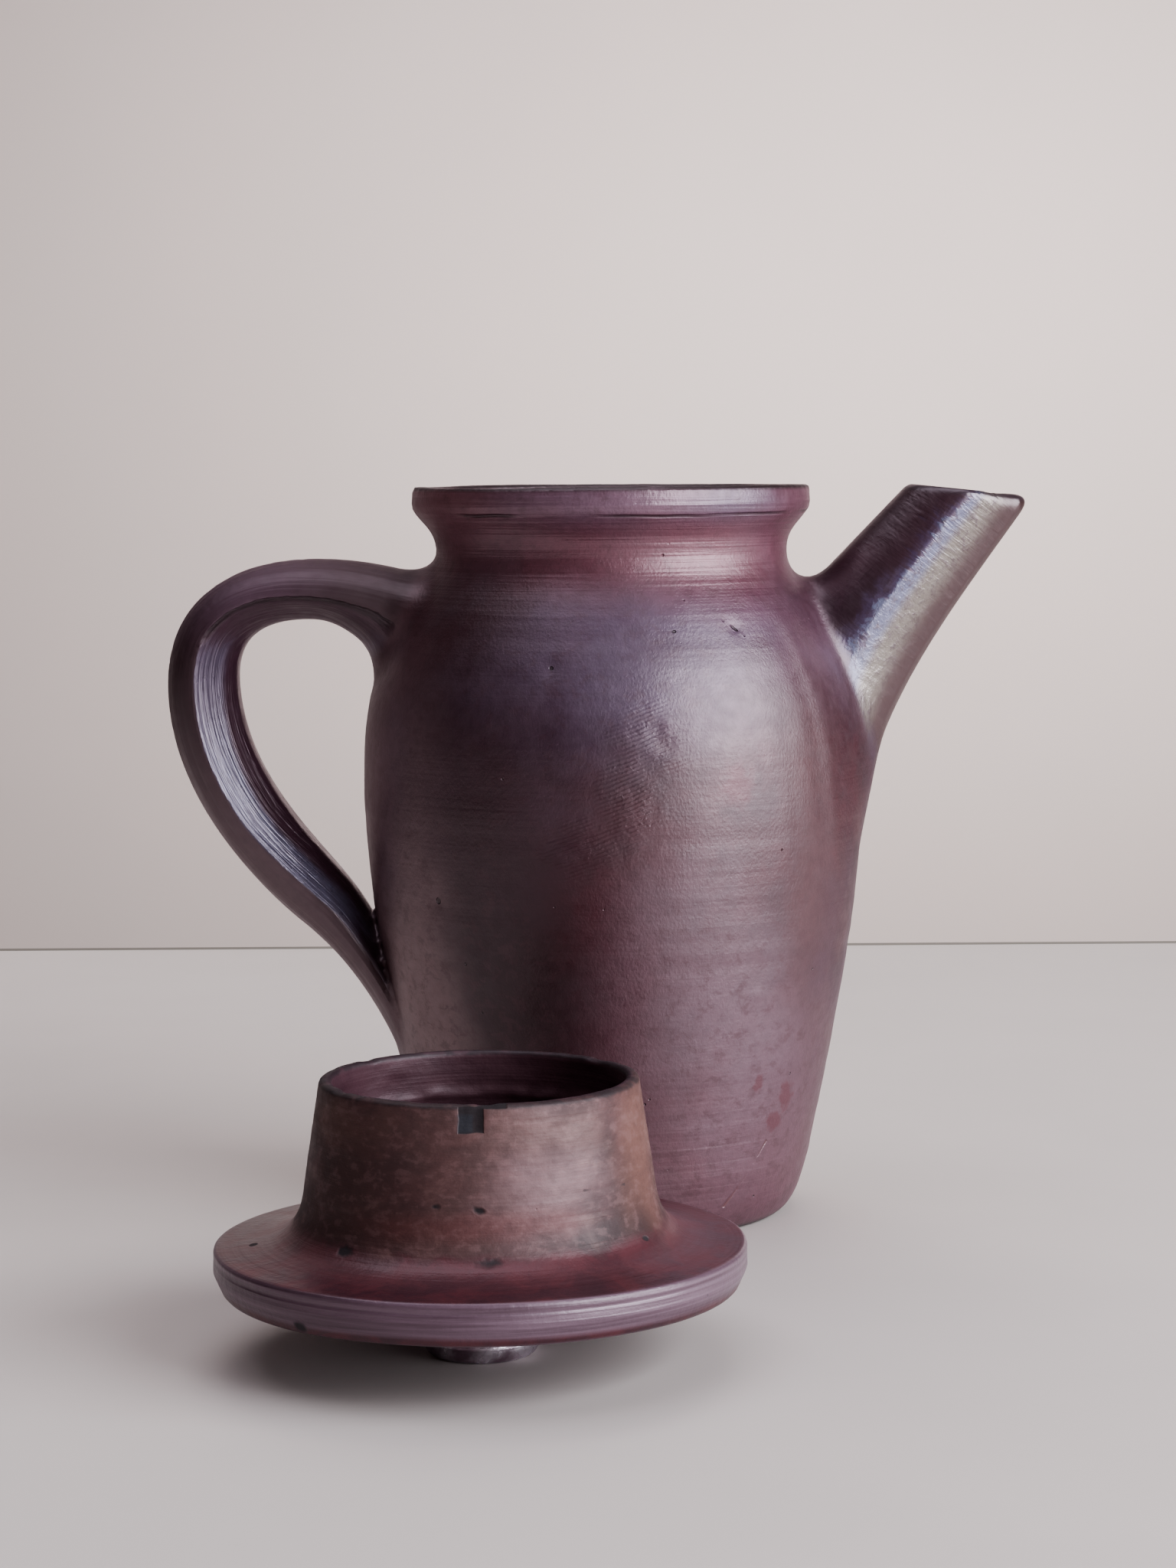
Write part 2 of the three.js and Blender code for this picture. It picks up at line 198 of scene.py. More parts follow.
cavity_wall = pot_outside[(pot_outside[:, 1] > 20) & (pot_outside[:, 1] < neck_height - 2)][::-1]
cavity_foot = radius_at(20) - wall
pot_inside = chain(
    bezier(mouth, (49.3, 194.75), (42.9, 189.5), (42.9, neck_height), 12),
    cavity_wall - (wall, 0),
    bezier((cavity_foot, 20), (cavity_foot - 1.6, 11.5), (cavity_foot - 5, floor), (cavity_foot - 13, floor), 8))


def both_sides(line):
    return np.concatenate([line, line[::-1] * (-1, 1)])


thrown = FlatTable((0, -8), (90, 214), 0.5)
thrown.keep(
    solid=outline_distance(thrown.points, both_sides(chain([(0, 0)], pot_outside, rim_rounds[:6], [(0, height)]))),
    hollow=outline_distance(thrown.points, both_sides(chain(
        [(0, 240), (75, 240), (56, 205)], rim_rounds[6:], pot_inside, [(0, floor)]))))
print("thrown body: belly", pot_outside[:, 0].max(), "neck", radius_at(neck_height), "table", thrown.shape)

# %% [markdown]
# The spout is a row of ovals between an upper and a lower edge, which lie in the plane through the
# pot's axis. For a point in that plane the table says which oval it belongs to and how far along
# it is. The lower half of each flank is scraped nearly flat. The bore is a tapered round hole, and
# the lip is a slanted cut. The row of ovals goes on a little beyond the lip, for the cut.

# %% The spout
lip_low, lip_high = np.array([115.4, 196.2]), np.array([81.4, 199.9])
root_top, root_bottom = 163.5, 93  # heights at the pot's wall
root_width, lip_width = 35.4, 27.6
bore_start, bore_end = 13.7, 9.8  # radii
spout_steps = np.linspace(0, 1, 90)
middle, extra = len(spout_steps) // 2, 24


def heading(degrees):
    return np.array([math.cos(math.radians(degrees)), math.sin(math.radians(degrees))])


root_high = np.array([radius_at(root_top) - 12, root_top])
root_low = np.array([radius_at(root_bottom) - 1, root_bottom])
span = float(np.hypot(*(lip_low - root_low)))
upper_edge = root_high + (lip_high - root_high) * spout_steps[:, None]
lower_edge = bezier(root_low, root_low + heading(87) * 0.38 * span,
                    lip_low - heading(55) * 0.352 * span, lip_low, len(spout_steps) - 1)
bore_tip = (lip_low + lip_high) / 2
to_lip = bore_tip - (upper_edge[middle] + lower_edge[middle]) / 2
spout_ahead = to_lip / np.hypot(*to_lip)
after = np.arange(1, extra + 1)
ring_middle = np.concatenate([(upper_edge + lower_edge) / 2, bore_tip + after[:, None] * spout_ahead])
ring_half = np.concatenate([(upper_edge - lower_edge) / 2, np.tile((lip_high - lip_low) / 2, (extra, 1))])
ring_width = root_width + (lip_width - root_width) * spout_steps ** 0.8
ring_side = np.concatenate([ring_width, np.full(extra, lip_width)]) / 2
ring_share = np.concatenate([spout_steps, 1 + after / 110])

poured = FlatTable((40, 76), (128, 214), 0.5)


def fill_spout_table(table):
    length = np.hypot(*ring_half.T)
    along = ring_half / length[:, None]
    away = table.points[None] - ring_middle[:, None]
    side = away[..., 0] * along[:, None, 1] - away[..., 1] * along[:, None, 0]
    reach = away[..., 0] * along[:, None, 0] + away[..., 1] * along[:, None, 1]
    crossing = (side[:-1] > 0) != (side[1:] > 0)
    cost = np.where(crossing, np.abs(reach[:-1]) / length[:-1, None], 50)
    first = cost.argmin(0)
    column = np.arange(cost.shape[1])
    missing = cost[first, column] >= 50
    first = np.where(missing, np.where(np.abs(side[0]) < np.abs(side[-1]), 0, len(side) - 2), first)
    a, b = side[first, column], side[first + 1, column]
    mix = np.where(missing, np.where(first == 0, 0.0, 1.0), np.clip(a / np.where(a == b, 1, a - b), 0, 1))

    def between(values):
        return values[first] * (1 - mix) + values[first + 1] * mix

    table.keep(
        share=between(ring_share), long=between(length), side=between(ring_side),
        reach=reach[first, column] * (1 - mix) + reach[first + 1, column] * mix,
        before=np.where(missing & (first == 0), np.abs(side[0]), 0.0))


fill_spout_table(poured)
lip_across = (lip_high - lip_low) / np.hypot(*(lip_high - lip_low))
lip_out = np.array([lip_across[1], -lip_across[0]])
lip_out = lip_out if lip_out @ spout_ahead > 0 else -lip_out


def flat_side(across, sideways, start, end):
    """How far a round section of size 1 shrinks where a flat runs from start to end on its side.

    Across and sideways are the parts of the unit direction; start and end are places across."""
    up, down = np.sqrt(1 - start ** 2), np.sqrt(1 - end ** 2)
    length = np.hypot(start - end, up - down)
    lean, rise = (down - up) / length, (start - end) / length
    facing = np.maximum(lean * across + rise * sideways, 0.2)
    return 1 - np.minimum(1, (lean * start + rise * up) / facing)


def spout_distance(x, y, z):
    share, long, side, reach, before = poured.read(x, z, "share", "long", "side", "reach", "before")
    full = np.hypot(reach / long, y / side) + 1e-6
    slope = np.hypot(reach / long ** 2, y / side ** 2) + 1e-6
    flat = flat_side(reach / long / full, np.abs(y) / side / full, 0.06, -0.88)
    oval = full * (full - 1 + 0.75 * flat * ease(0.15, 0.5, share)) / slope
    past_lip = (x - lip_low[0]) * lip_out[0] + (z - lip_low[1]) * lip_out[1]
    return -melt(-oval, -past_lip, 1.6 + 3.4 * ease(94, 110, x)) + before + np.maximum(0, 48 - x)


bore_span = 2.6 * float(np.hypot(*to_lip))


def bore_distance(x, y, z):
    """Distance to the pouring hole, negative inside it."""
    u, v = x - bore_tip[0], z - bore_tip[1]
    travel = u * spout_ahead[0] + v * spout_ahead[1]
    off = np.hypot(u * spout_ahead[1] - v * spout_ahead[0], y)
    radius = bore_end - (bore_start - bore_end) / bore_span * travel
    return np.maximum(off - radius, -travel - bore_span * 0.55)


print("spout: lip", lip_low, lip_high, "bore span", round(bore_span, 1))

# %% [markdown]
# The handle was pulled from a lump of clay. Its middle line has three runs: over the crest, down
# and in along the slope, and down the wall. The section is round outside and flattened on both
# flanks of its inner half, where the potter's fingers drew the clay, which leaves a sharp arris
# along each side. The table gives, for a point in the plane, its place along and off the line.

# %% The handle
finger_gap, grip_half = 33.8, 10
root_height, grip_height, landing_height, tail_height = 165.5, 147, 87.5, 33
tail_run = landing_height - tail_height
grip_x = -(belly_radius + finger_gap + grip_half)
handle_root = np.array([-(radius_at(root_height) - 8), root_height])
landing = np.array([-(radius_at(landing_height) + 14), landing_height])
handle_tail = np.array([-(radius_at(tail_height) - 2.16), tail_height])
grip = np.array([grip_x, grip_height])
slope_step = np.array([1, -1]) / math.sqrt(2)
handle_line = chain(
    bezier(handle_root, (handle_root[0] + 0.56 * (grip_x - handle_root[0]), 178.5), (grip_x, 173.56), grip, 80),
    bezier(grip, (grip_x, grip_height + 0.44 * (landing_height - grip_height)),
           landing - slope_step * 0.27 * np.hypot(*(grip - landing)), landing, 80),
    bezier(landing, landing + slope_step * 0.27 * np.hypot(*(landing - handle_tail)),
           (handle_tail[0] + 0.04 * (landing[0] - handle_tail[0]), tail_height + 0.35 * tail_run), handle_tail, 80))
handle_share = np.linspace(0, 1, len(handle_line))
handle_tangent = np.gradient(handle_line, axis=0)
handle_tangent /= np.hypot(*handle_tangent.T)[:, None]
handle_outward = np.stack([handle_tangent[:, 1], -handle_tangent[:, 0]], -1)
handle_length = np.r_[0, np.cumsum(np.hypot(*np.diff(handle_line, axis=0).T))]
stations = np.linspace(0, 1, 7)
thick_at = np.array([18.5, 15.6, 20, 20, 18.6, 10.17, 3.6])
width_at = np.array([36, 32, 28, 28, 29.96, 34, 40])
smooth_stations = np.linspace(0, 1, 101)
root_swell = 17  # how much the root thickens below its middle line, where it meets the shoulder


def smoothed(values):
    """The same sizes along the handle, without a corner at each station."""
    window = np.clip(smooth_stations[:, None] + np.linspace(-0.07, 0.07, 15), 0, 1)
    return np.interp(window, stations, values).mean(1)


smooth_thick, smooth_wide = smoothed(thick_at), smoothed(width_at)
pulled = FlatTable((-136, 18), (-38, 198), 0.5)


def fill_handle_table(table):
    best = np.full(len(table.points), 1e9)
    share, offset, past = (np.zeros(len(table.points)) for _ in range(3))
    for i in range(len(handle_line) - 1):
        a, b = handle_line[i], handle_line[i + 1]
        edge = b - a
        t = ((table.points - a) @ edge) / (edge @ edge)
        inner = np.clip(t, 0, 1)
        gap = table.points - a - inner[:, None] * edge
        away = gap[:, 0] ** 2 + gap[:, 1] ** 2
        nearer = away < best
        best = np.where(nearer, away, best)
        share = np.where(nearer, handle_share[i] + (handle_share[i + 1] - handle_share[i]) * inner, share)
        out = (1 - inner)[:, None] * handle_outward[i] + inner[:, None] * handle_outward[i + 1]
        offset = np.where(nearer, gap[:, 0] * out[:, 0] + gap[:, 1] * out[:, 1], offset)
        past = np.where(nearer, np.abs(t - inner) * np.hypot(*edge), past)
    table.keep(share=share, offset=offset, past=past)


fill_handle_table(pulled)


def handle_place(x, y, z):
    """Share along the handle, offset outwards, distance past its ends, half thickness and half width."""
    wrap = np.clip((landing_height - z) / tail_run, 0, 1)
    heights = (tail_height, 60, landing_height)
    reach = np.interp(z, heights, [radius_at(h) for h in heights])
    curl = wrap * (reach - np.sqrt(np.maximum(reach ** 2 - np.minimum(np.abs(y), 40) ** 2, 1)))
    share, offset, past = pulled.read(x - curl, z, "share", "offset", "past")
    thick = np.interp(share, smooth_stations, smooth_thick) / 2
    wide = np.interp(share, smooth_stations, smooth_wide) / 2
    near_root = np.clip(1 - share * 3 / 0.34, 0, 1)
    thick = np.where(offset < 0, thick + root_swell * near_root ** 2, thick)
    return share, offset, past, thick, wide


def arris_place(share):
    """Where the arris runs: 1 would be the handle's outermost line, -1 its innermost one."""
    return np.interp(share, (0, 0.12, 0.27, 0.42, 0.52, 0.62, 0.7, 0.85, 1),
                     (-0.3, -0.2, 0.12, 0.15, 0.16, -0.02, -0.14, -0.2, -0.25))


def handle_distance(x, y, z):
    share, offset, past, thick, wide = handle_place(x, y, z)
    u, v = offset / thick, np.abs(y) / wide
    full = np.hypot(u, v) + 1e-6
    start = arris_place(share)
    crisp = ease(0.03, 0.12, share) * ease(0.88, 0.62, share)
    flat = flat_side(u / full, v / full, start, -0.95)
    arris = 0.02 * np.exp(-np.abs(u / full - start) / 0.16)
    size = 1 - crisp * (0.85 * flat - arris)
    depth = np.maximum(np.hypot(offset, y) * (1 - size / full), -thick)
    return depth + past + np.maximum(0, x + 46)


print("handle: length along its middle", round(float(handle_length[-1]), 1), "mm")

# %% [markdown]
# Now the forms are joined. The fillet is wide where the clay was smeared (over the handle's top
# root, in the saddle above the spout and down the wall below it), narrow along the spout's sides,
# and almost nothing along the handle's tail, where the photograph shows a dark crease. The bore
# and the hollow are cut out last.

# %% The joined clay
def clay_distance(x, y, z):
    solid, hollow = thrown.read(np.hypot(x, y), z, "solid", "hollow")
    spout_reach = 0.8 + (4.2 + 5 * ease(163, 174, z) + 5 * ease(150, 118, z)) * ease(88, 118, z)
    handle_reach = 1.4 + 7.5 * ease(118, 150, z) + 1.5 * ease(50, 38, z)
    outer = melt(solid, spout_distance(x, y, z), spout_reach)
    outer = melt(outer, handle_distance(x, y, z), handle_reach)
    empty = melt(hollow, bore_distance(x, y, z), 1.2)
    return -melt(-outer, empty, 0.5)


def outward(points, step=0.25):
    """The direction straight out of the clay at each point, and how fast the distance grows."""
    slope = np.zeros_like(points)
    for axis in range(3):
        ahead, behind = points.copy(), points.copy()
        ahead[:, axis] += step
        behind[:, axis] -= step
        slope[:, axis] = clay_distance(*ahead.T) - clay_distance(*behind.T)
    size = np.linalg.norm(slope, axis=1, keepdims=True)
    return slope / np.maximum(size, 1e-6), size[:, 0] / (2 * step)


# %% [markdown]
# Surface nets turn the field into a mesh: every cell of a grid that the surface passes through
# gets one vertex, and every grid edge that the surface crosses gets one four-sided face. The
# vertices are then relaxed and pushed onto the exact surface, which gives even faces and a smooth
# highlight, with no steps from the grid.

# %% Surface nets
def fill_pinches(field):
    """Fills grid squares where two bits of clay would only touch along an edge."""
    inside = field < 0
    for _ in range(3):
        for u, v in ((0, 1), (0, 2), (1, 2)):
            corners = []
            for du, dv in ((0, 0), (1, 0), (1, 1), (0, 1)):
                part = [slice(None)] * 3
                part[u] = slice(du, field.shape[u] - 1 + du)
                part[v] = slice(dv, field.shape[v] - 1 + dv)
                corners.append(tuple(part))
            a, b, c, d = (inside[part] for part in corners)
            pinched = (a == c) & (b == d) & (a != b)
            for part in corners:
                field[part] = np.where(pinched & (field[part] >= 0), -0.001, field[part])
            inside = field < 0
    return inside


def surface_net(low, high, step):
    """Vertices and four-sided faces of the clay between two corners of space."""
    counts = [int(round((h - l) / step)) + 1 for l, h in zip(low, high)]
    xs, ys, zs = (l + step * np.arange(n) for l, n in zip(low, counts))
    field = np.empty(counts, np.float32)
    for i, x in enumerate(xs):
        y, z = np.meshgrid(ys, zs, indexing="ij")
        field[i] = clay_distance(np.full(y.size, x), y.ravel(), z.ravel()).reshape(y.shape)
    inside = fill_pinches(field)
    total = np.zeros([n - 1 for n in counts], np.int8)
    for i, j, k in product((0, 1), repeat=3):
        total += inside[i:counts[0] - 1 + i, j:counts[1] - 1 + j, k:counts[2] - 1 + k]
    active = (total > 0) & (total < 8)
    number = np.full(active.shape, -1, np.int64)
    number[active] = np.arange(active.sum())
    cells = np.argwhere(active)
    sums, hits = np.zeros((len(cells), 3)), np.zeros(len(cells))
    for axis in range(3):
        others = [a for a in range(3) if a != axis]
        for p, q in product((0, 1), repeat=2):
            corner = np.zeros(3, int)
            corner[others[0]], corner[others[1]] = p, q
            start = cells + corner
            stop = start.copy()
            stop[:, axis] += 1
            a, b = field[tuple(start.T)], field[tuple(stop.T)]
            cross = (a < 0) != (b < 0)
            place = np.tile(corner, (len(cells), 1)).astype(float)
            place[:, axis] = np.where(cross, a / np.where(a == b, 1, a - b), 0)
            sums[cross] += place[cross]
            hits[cross] += 1
    places = np.array(low) + (cells + sums / hits[:, None]) * step
    quads = []
    for axis in range(3):
        u, v = (axis + 1) % 3, (axis + 2) % 3
        lower, upper = [slice(None)] * 3, [slice(None)] * 3
        lower[axis], upper[axis] = slice(None, -1), slice(1, None)
        a, b = inside[tuple(lower)], inside[tuple(upper)]
        at = np.argwhere(a != b)
        at = at[(at[:, u] > 0) & (at[:, v] > 0) & (at[:, u] < counts[u] - 1) & (at[:, v] < counts[v] - 1)]
        leaves = a[tuple(at.T)]
        ring = []
        for du, dv in ((1, 1), (0, 1), (0, 0), (1, 0)):
            cell = at.copy()
            cell[:, u] -= du
            cell[:, v] -= dv
            ring.append(number[tuple(cell.T)])
        ring = np.stack(ring, -1)
        quads.append(np.where(leaves[:, None], ring, ring[:, ::-1]))
    return places, np.concatenate(quads)


longest_step = 0.6


def relax(places, quads, rounds):
    """Draws each vertex towards its neighbours and back onto the surface."""
    ends = np.concatenate([quads[:, (0, 1)], quads[:, (1, 2)], quads[:, (2, 3)], quads[:, (3, 0)]])
    count = np.bincount(ends.ravel(), minlength=len(places))
    for _ in range(rounds):
        mean = np.stack([
            np.bincount(ends[:, 0], places[ends[:, 1], a], len(places))
            + np.bincount(ends[:, 1], places[ends[:, 0], a], len(places)) for a in range(3)], -1)
        mean /= count[:, None]
        places = places + 0.5 * (mean - places)
        places = settle(places, 2)
    return settle(places, 3)


def settle(places, rounds):
    """Sets vertices down on the surface of the clay."""
    for _ in range(rounds):
        normal, slope = outward(places)
        move = clay_distance(*places.T) / np.maximum(slope, 0.5)
        places = places - np.clip(move, -longest_step, longest_step)[:, None] * normal
    return places


places, quads = surface_net((-126, -72, -2.1), (116, 72.5, 203), 1.55)
places = relax(places, quads, 2)
print("pot skin:", len(places), "vertices,", len(quads), "faces, box", places.min(0).round(2), places.max(0).round(2))

# %% [markdown]
# Real thrown clay is never quite even. The skin gets low waves from the potter's fingers, rings
# left by the wheel, dimples in rough patches where the clay was picked up, a few dents, and soft
# ridges where the spout's join was wiped down the wall. Each is a small move along the surface's
# own direction, under half a millimetre, so the sizes stay those of the CAD model.

# %% Smooth noise and the small dents
def grain(points, size, seed):
    """Smooth noise from -1 to 1, with about one bump in each size. Always the same for one seed."""
    p = points / size + seed * 17.31
    cell = np.floor(p)
    f = p - cell
    f = f * f * (3 - 2 * f)
    total = np.zeros(len(points))
    for corner in product((0, 1), repeat=3):
        value = np.sin((cell + corner) @ (127.1, 311.7, 74.7) + seed) * 43758.5453
        weight = np.abs(1 - np.array(corner) - f).prod(1)
        total += (value - np.floor(value)) * weight
    return total * 2 - 1


def near(points, place, size):
    away = (points - place) / size
    return np.exp(-(away ** 2).sum(1))


rough_patches = [((10.6, -67.0, 135.5), (8, 8, 9)), ((1.6, -68.5, 117.6), (9, 8, 12)),
                 ((-7.1, -67.9, 106.9), (8, 8, 6)), ((-20.0, 64.0, 96.0), (10, 8, 12))]
dents = [((31.4, -48.9, 163.1), 1.9, 0.45), ((-16.2, -60.7, 153.6), 2.2, 0.4), ((-46.7, -48.1, 91.8), 2.0, 0.4),
         ((37.1, -51.6, 66.8), 1.7, -0.3), ((10.6, -67.0, 137.5), 2.0, 0.4), ((12.9, -66.9, 134.0), 1.8, 0.35),
         ((-96.0, -12.5, 160.5), 2.2, 0.35), ((24.0, 62.0, 128.0), 2.2, 0.4), ((-42.0, 47.0, 140.0), 2.0, 0.4)]


def clay_relief(points):
    """How far each point moves outwards, and how much it belongs to the inside of the pot."""
    x, y, z = points.T
    r, around = np.hypot(x, y), np.arctan2(y, x)
    solid, hollow = thrown.read(r, z, "solid", "hollow")
    on_wall = ease(1.2, 0.3, np.abs(solid)) * ease(1, 4, z)
    inside = ease(1.5, 0.5, np.abs(hollow)) * ease(196, 190, z)

    # the wheel's rings and the low waves of the wall, and rings inside
    flat = np.stack([0 * z, 0 * z, z + 0.5 * np.sin(around + 0.8)], -1)
    rings = 0.07 * grain(flat, 3.4, 3) + 0.055 * grain(flat, 7.5, 5)
    move = on_wall * (rings * (1 + 0.3 * ease(160, 176, z)) + 0.20 * grain(points * (1, 1, 0.7), 24, 1)
                      + 0.04 * grain(points, 7, 2))
    move += inside * 0.35 * grain(flat, 6.5, 9)

    # rough patches, dents, and the wiped ridges at both sides of the spout's join
    for place, size in rough_patches:
        move -= 0.2 * near(points, place, size) * np.maximum(0, grain(points, 2.9, 11))
    for place, size, depth in dents:
        move -= depth * near(points, place, size)
    wiped = np.exp(-((np.abs(around) - 0.62) / 0.22) ** 2) * ease(80, 105, z) * ease(172, 158, z) * on_wall * (x > 0)
    lean = np.stack([around * 63 + (z - 130) * 0.16, 0 * z, z * 0.08], -1)
    move += 0.26 * wiped * grain(lean, 5.2, 7)

    # long marks drawn along the handle
    share, offset = handle_place(x, y, z)[:2]
    on_handle = ease(1.5, 0.4, np.abs(handle_distance(x, y, z))) * ease(0.03, 0.12, share) * (r > 60)
    drawn = np.stack([np.interp(share, handle_share, handle_length) * 0.09, offset, y], -1)
    move += on_handle * 0.16 * grain(drawn, 3.1, 4)
    return move, inside


print("rough patches", len(rough_patches), "dents", len(dents))

# %% [markdown]
# The arris and the flats are sharp, so the skin's faces on the handle and the spout are halved and
# set down on the field again before the relief is pressed in.
# The inside of the pot is mostly hidden, so its faces can be larger. A vertex group marks it, and
# a Decimate modifier, limited to the group, thins it. The result is taken from the evaluated
# object as a plain mesh, and the skin stays under the size that the library asks for.

# %% The pot as one piece
def metres(places):
    return (places * 0.001).astype(np.float32).ravel()


def mesh_piece(name, places, quads):
    mesh = bpy.data.meshes.new(name)
    mesh.vertices.add(len(places))
    mesh.vertices.foreach_set("co", metres(places))
    mesh.loops.add(quads.size)
    mesh.loops.foreach_set("vertex_index", quads.astype(np.int32).ravel())
    mesh.polygons.add(len(quads))
    mesh.polygons.foreach_set("loop_start", np.arange(0, quads.size, quads.shape[1], dtype=np.int32))
    mesh.update(calc_edges=True)
    mesh.validate()
    return add_object(name, mesh)


def bake_modifiers(piece):
    """Swaps a piece's mesh for its evaluated one and drops its modifiers and groups."""
    bpy.context.view_layer.update()
    seen = piece.evaluated_get(bpy.context.evaluated_depsgraph_get())
    plain = bpy.data.meshes.new_from_object(seen)
    old = piece.data
    piece.modifiers.clear()
    piece.vertex_groups.clear()
    piece.data = plain
    plain.name = piece.name
    bpy.data.meshes.remove(old)
    plain.polygons.foreach_set("use_smooth", np.ones(len(plain.polygons), bool))
    return piece


def corners_of(piece):
    flat = np.empty(len(piece.data.vertices) * 3, np.float32)
    piece.data.vertices.foreach_get("co", flat)
    return flat.reshape(-1, 3).astype(float) * 1000


def put_back(piece, places):
    piece.data.vertices.foreach_set("co", metres(places))
    piece.data.update()


def triangles_of(piece):
    return sum(len(face.vertices) - 2 for face in piece.data.polygons)


def refine(piece, chosen):
    """Halves every edge between chosen corners, to hold a sharper shape there."""
    net = bmesh.new()
    net.from_mesh(piece.data)
    net.verts.ensure_lookup_table()
    edges = [e for e in net.edges if chosen[e.verts[0].index] and chosen[e.verts[1].index]]
    bmesh.ops.subdivide_edges(net, edges=edges, cuts=1, use_grid_fill=True)
    bmesh.ops.triangulate(net, faces=[f for f in net.faces if len(f.verts) > 4])
    net.to_mesh(piece.data)
    net.free()


pot_skin = mesh_piece("pot_skin", places, quads)
x, y, z = places.T
solid = thrown.read(np.hypot(x, y), z, "solid")
share, _, _, _, wide = handle_place(x, y, z)
own_handle = (np.abs(handle_distance(x, y, z)) < 1.2) & (solid > 1.5) & (np.abs(y) > 0.4 * wide) & (share < 0.85)
own_spout = (np.abs(spout_distance(x, y, z)) < 1.2) & (solid > 3) & (z > 120)
refine(pot_skin, own_handle | own_spout)
places = settle(corners_of(pot_skin), 3)
bend, _ = outward(places)
move, inside_share = clay_relief(places)
put_back(pot_skin, places + bend * move[:, None])
print("finer on the handle and the spout:", len(places), "vertices; relief from",
      round(float(move.min()), 2), "to", round(float(move.max()), 2), "mm")
inner = np.flatnonzero(inside_share > 0.6)
pot_skin.vertex_groups.new(name="inside").add(inner.tolist(), 1.0, "REPLACE")
thin = pot_skin.modifiers.new("thin the inside", "DECIMATE")
thin.vertex_group = "inside"
thin.ratio = 1 - len(inner) / len(places) * 0.91
bake_modifiers(pot_skin)
print("pot skin after thinning the inside:", triangles_of(pot_skin), "triangles")

# %% [markdown]
# Brush marks and highlights follow the handle and the spout, not the axes of space. So each corner
# of the skin stores where it is along and around them, as vector attributes that the glaze reads.
# On the handle the second part is the distance from the arris, below 0 on the inner flank.
# Two plain weights say how much a corner belongs to the handle or to the spout.

# %% Ways along the handle and the spout
def store(piece, name, values):
    kind, field = ("FLOAT_VECTOR", "vector") if values.ndim == 2 else ("FLOAT", "value")
    layer = piece.data.attributes.new(name, kind, "POINT")
    layer.data.foreach_set(field, values.astype(np.float32).ravel())


def spout_frame(x, y, z):
    """Along from the lip, place across the section (15 at its upper edge) and sideways."""
    along = (x - bore_tip[0]) * spout_ahead[0] + (z - bore_tip[1]) * spout_ahead[1]
    long, side, reach = poured.read(x, z, "long", "side", "reach")
    full = np.hypot(reach / long, y / side) + 1e-6
    return np.stack([along, reach / long / full * 15, y], -1)


def handle_frame(x, y, z):
    """Along from the root, place across the section measured from the arris, and sideways."""
    share, offset, _, thick, wide = handle_place(x, y, z)
    full = np.hypot(offset / thick, y / wide) + 1e-6
    along = np.interp(share, handle_share, handle_length)
    return np.stack([along, (offset / thick / full - arris_place(share)) * 12, y / wide * 14], -1)


x, y, z = corners_of(pot_skin).T
own = ease(0.4, 2.5, thrown.read(np.hypot(x, y), z, "solid"))
store(pot_skin, "handle_weight", ease(2.5, 0.2, np.abs(handle_distance(x, y, z))) * own * (x < -45))
store(pot_skin, "spout_weight", ease(2.5, 0.2, np.abs(spout_distance(x, y, z))) * own * (x > 45))
store(pot_skin, "handle_way", handle_frame(x, y, z) * 0.001)
store(pot_skin, "spout_way", spout_frame(x, y, z) * 0.001)
print("attributes:", [a.name for a in pot_skin.data.attributes if not a.name.startswith(".")])

# %% [markdown]
# The lid, its knob and all the finishes come from node trees. A few helpers keep those readable.
# Each one adds a node and gives back its value, and values can be added, subtracted, multiplied
# and divided like numbers, which adds Math nodes.

# %% Small helpers for node trees
class Value:
    """One output of a node. Another output of the same node is read by its name in brackets."""

    def __init__(self, nodes, socket):
        self.nodes, self.socket = nodes, socket

    def __getitem__(self, name):
        return Value(self.nodes, self.socket.node.outputs[name])

    def __add__(self, other):
        return self.nodes.calc("ADD", self, other)

    def __radd__(self, other):
        return self.nodes.calc("ADD", other, self)

    def __sub__(self, other):
        return self.nodes.calc("SUBTRACT", self, other)

    def __mul__(self, other):
        return self.nodes.calc("MULTIPLY", self, other)

    def __truediv__(self, other):
        return self.nodes.calc("DIVIDE", self, other)


class Nodes:
    """Adds nodes to one tree."""

    def __init__(self, tree):
        self.tree = tree

    def join(self, value, socket):
        if isinstance(value, Value):
            self.tree.links.new(value.socket, socket)
        else:
            socket.default_value = value

    def put(self, kind, settings=None, **links):
        """A node of a kind. Its inputs are given by name, or as _0, _1 and so on by number."""
        node = self.tree.nodes.new(kind)
        for name, value in (settings or {}).items():
            setattr(node, name, value)
        for name, value in links.items():
            self.join(value, node.inputs[int(name[1:])] if name[0] == "_" else node.inputs[name.replace("_", " ")])
        return Value(self, node.outputs[0])

    def calc(self, operation, a, b=0.0, clamp=False):
        return self.put("ShaderNodeMath", {"operation": operation, "use_clamp": clamp}, _0=a, _1=b)

    def arrow(self, operation, a, b=(0, 0, 0)):
        return self.put("ShaderNodeVectorMath", {"operation": operation}, _0=a, _1=b)

    def scaled(self, vector, factor):
        return self.put("ShaderNodeVectorMath", {"operation": "SCALE"}, _0=vector, Scale=factor)

    def split(self, vector):
        parts = self.put("ShaderNodeSeparateXYZ", _0=vector)
        return [parts[i] for i in range(3)]

    def vector(self, x, y, z):
        return self.put("ShaderNodeCombineXYZ", _0=x, _1=y, _2=z)

    def noise(self, vector, scale, detail=2.0, roughness=0.5, warp=0.0):
        return self.put("ShaderNodeTexNoise", Vector=vector, Scale=scale, Detail=detail,
                        Roughness=roughness, Distortion=warp)


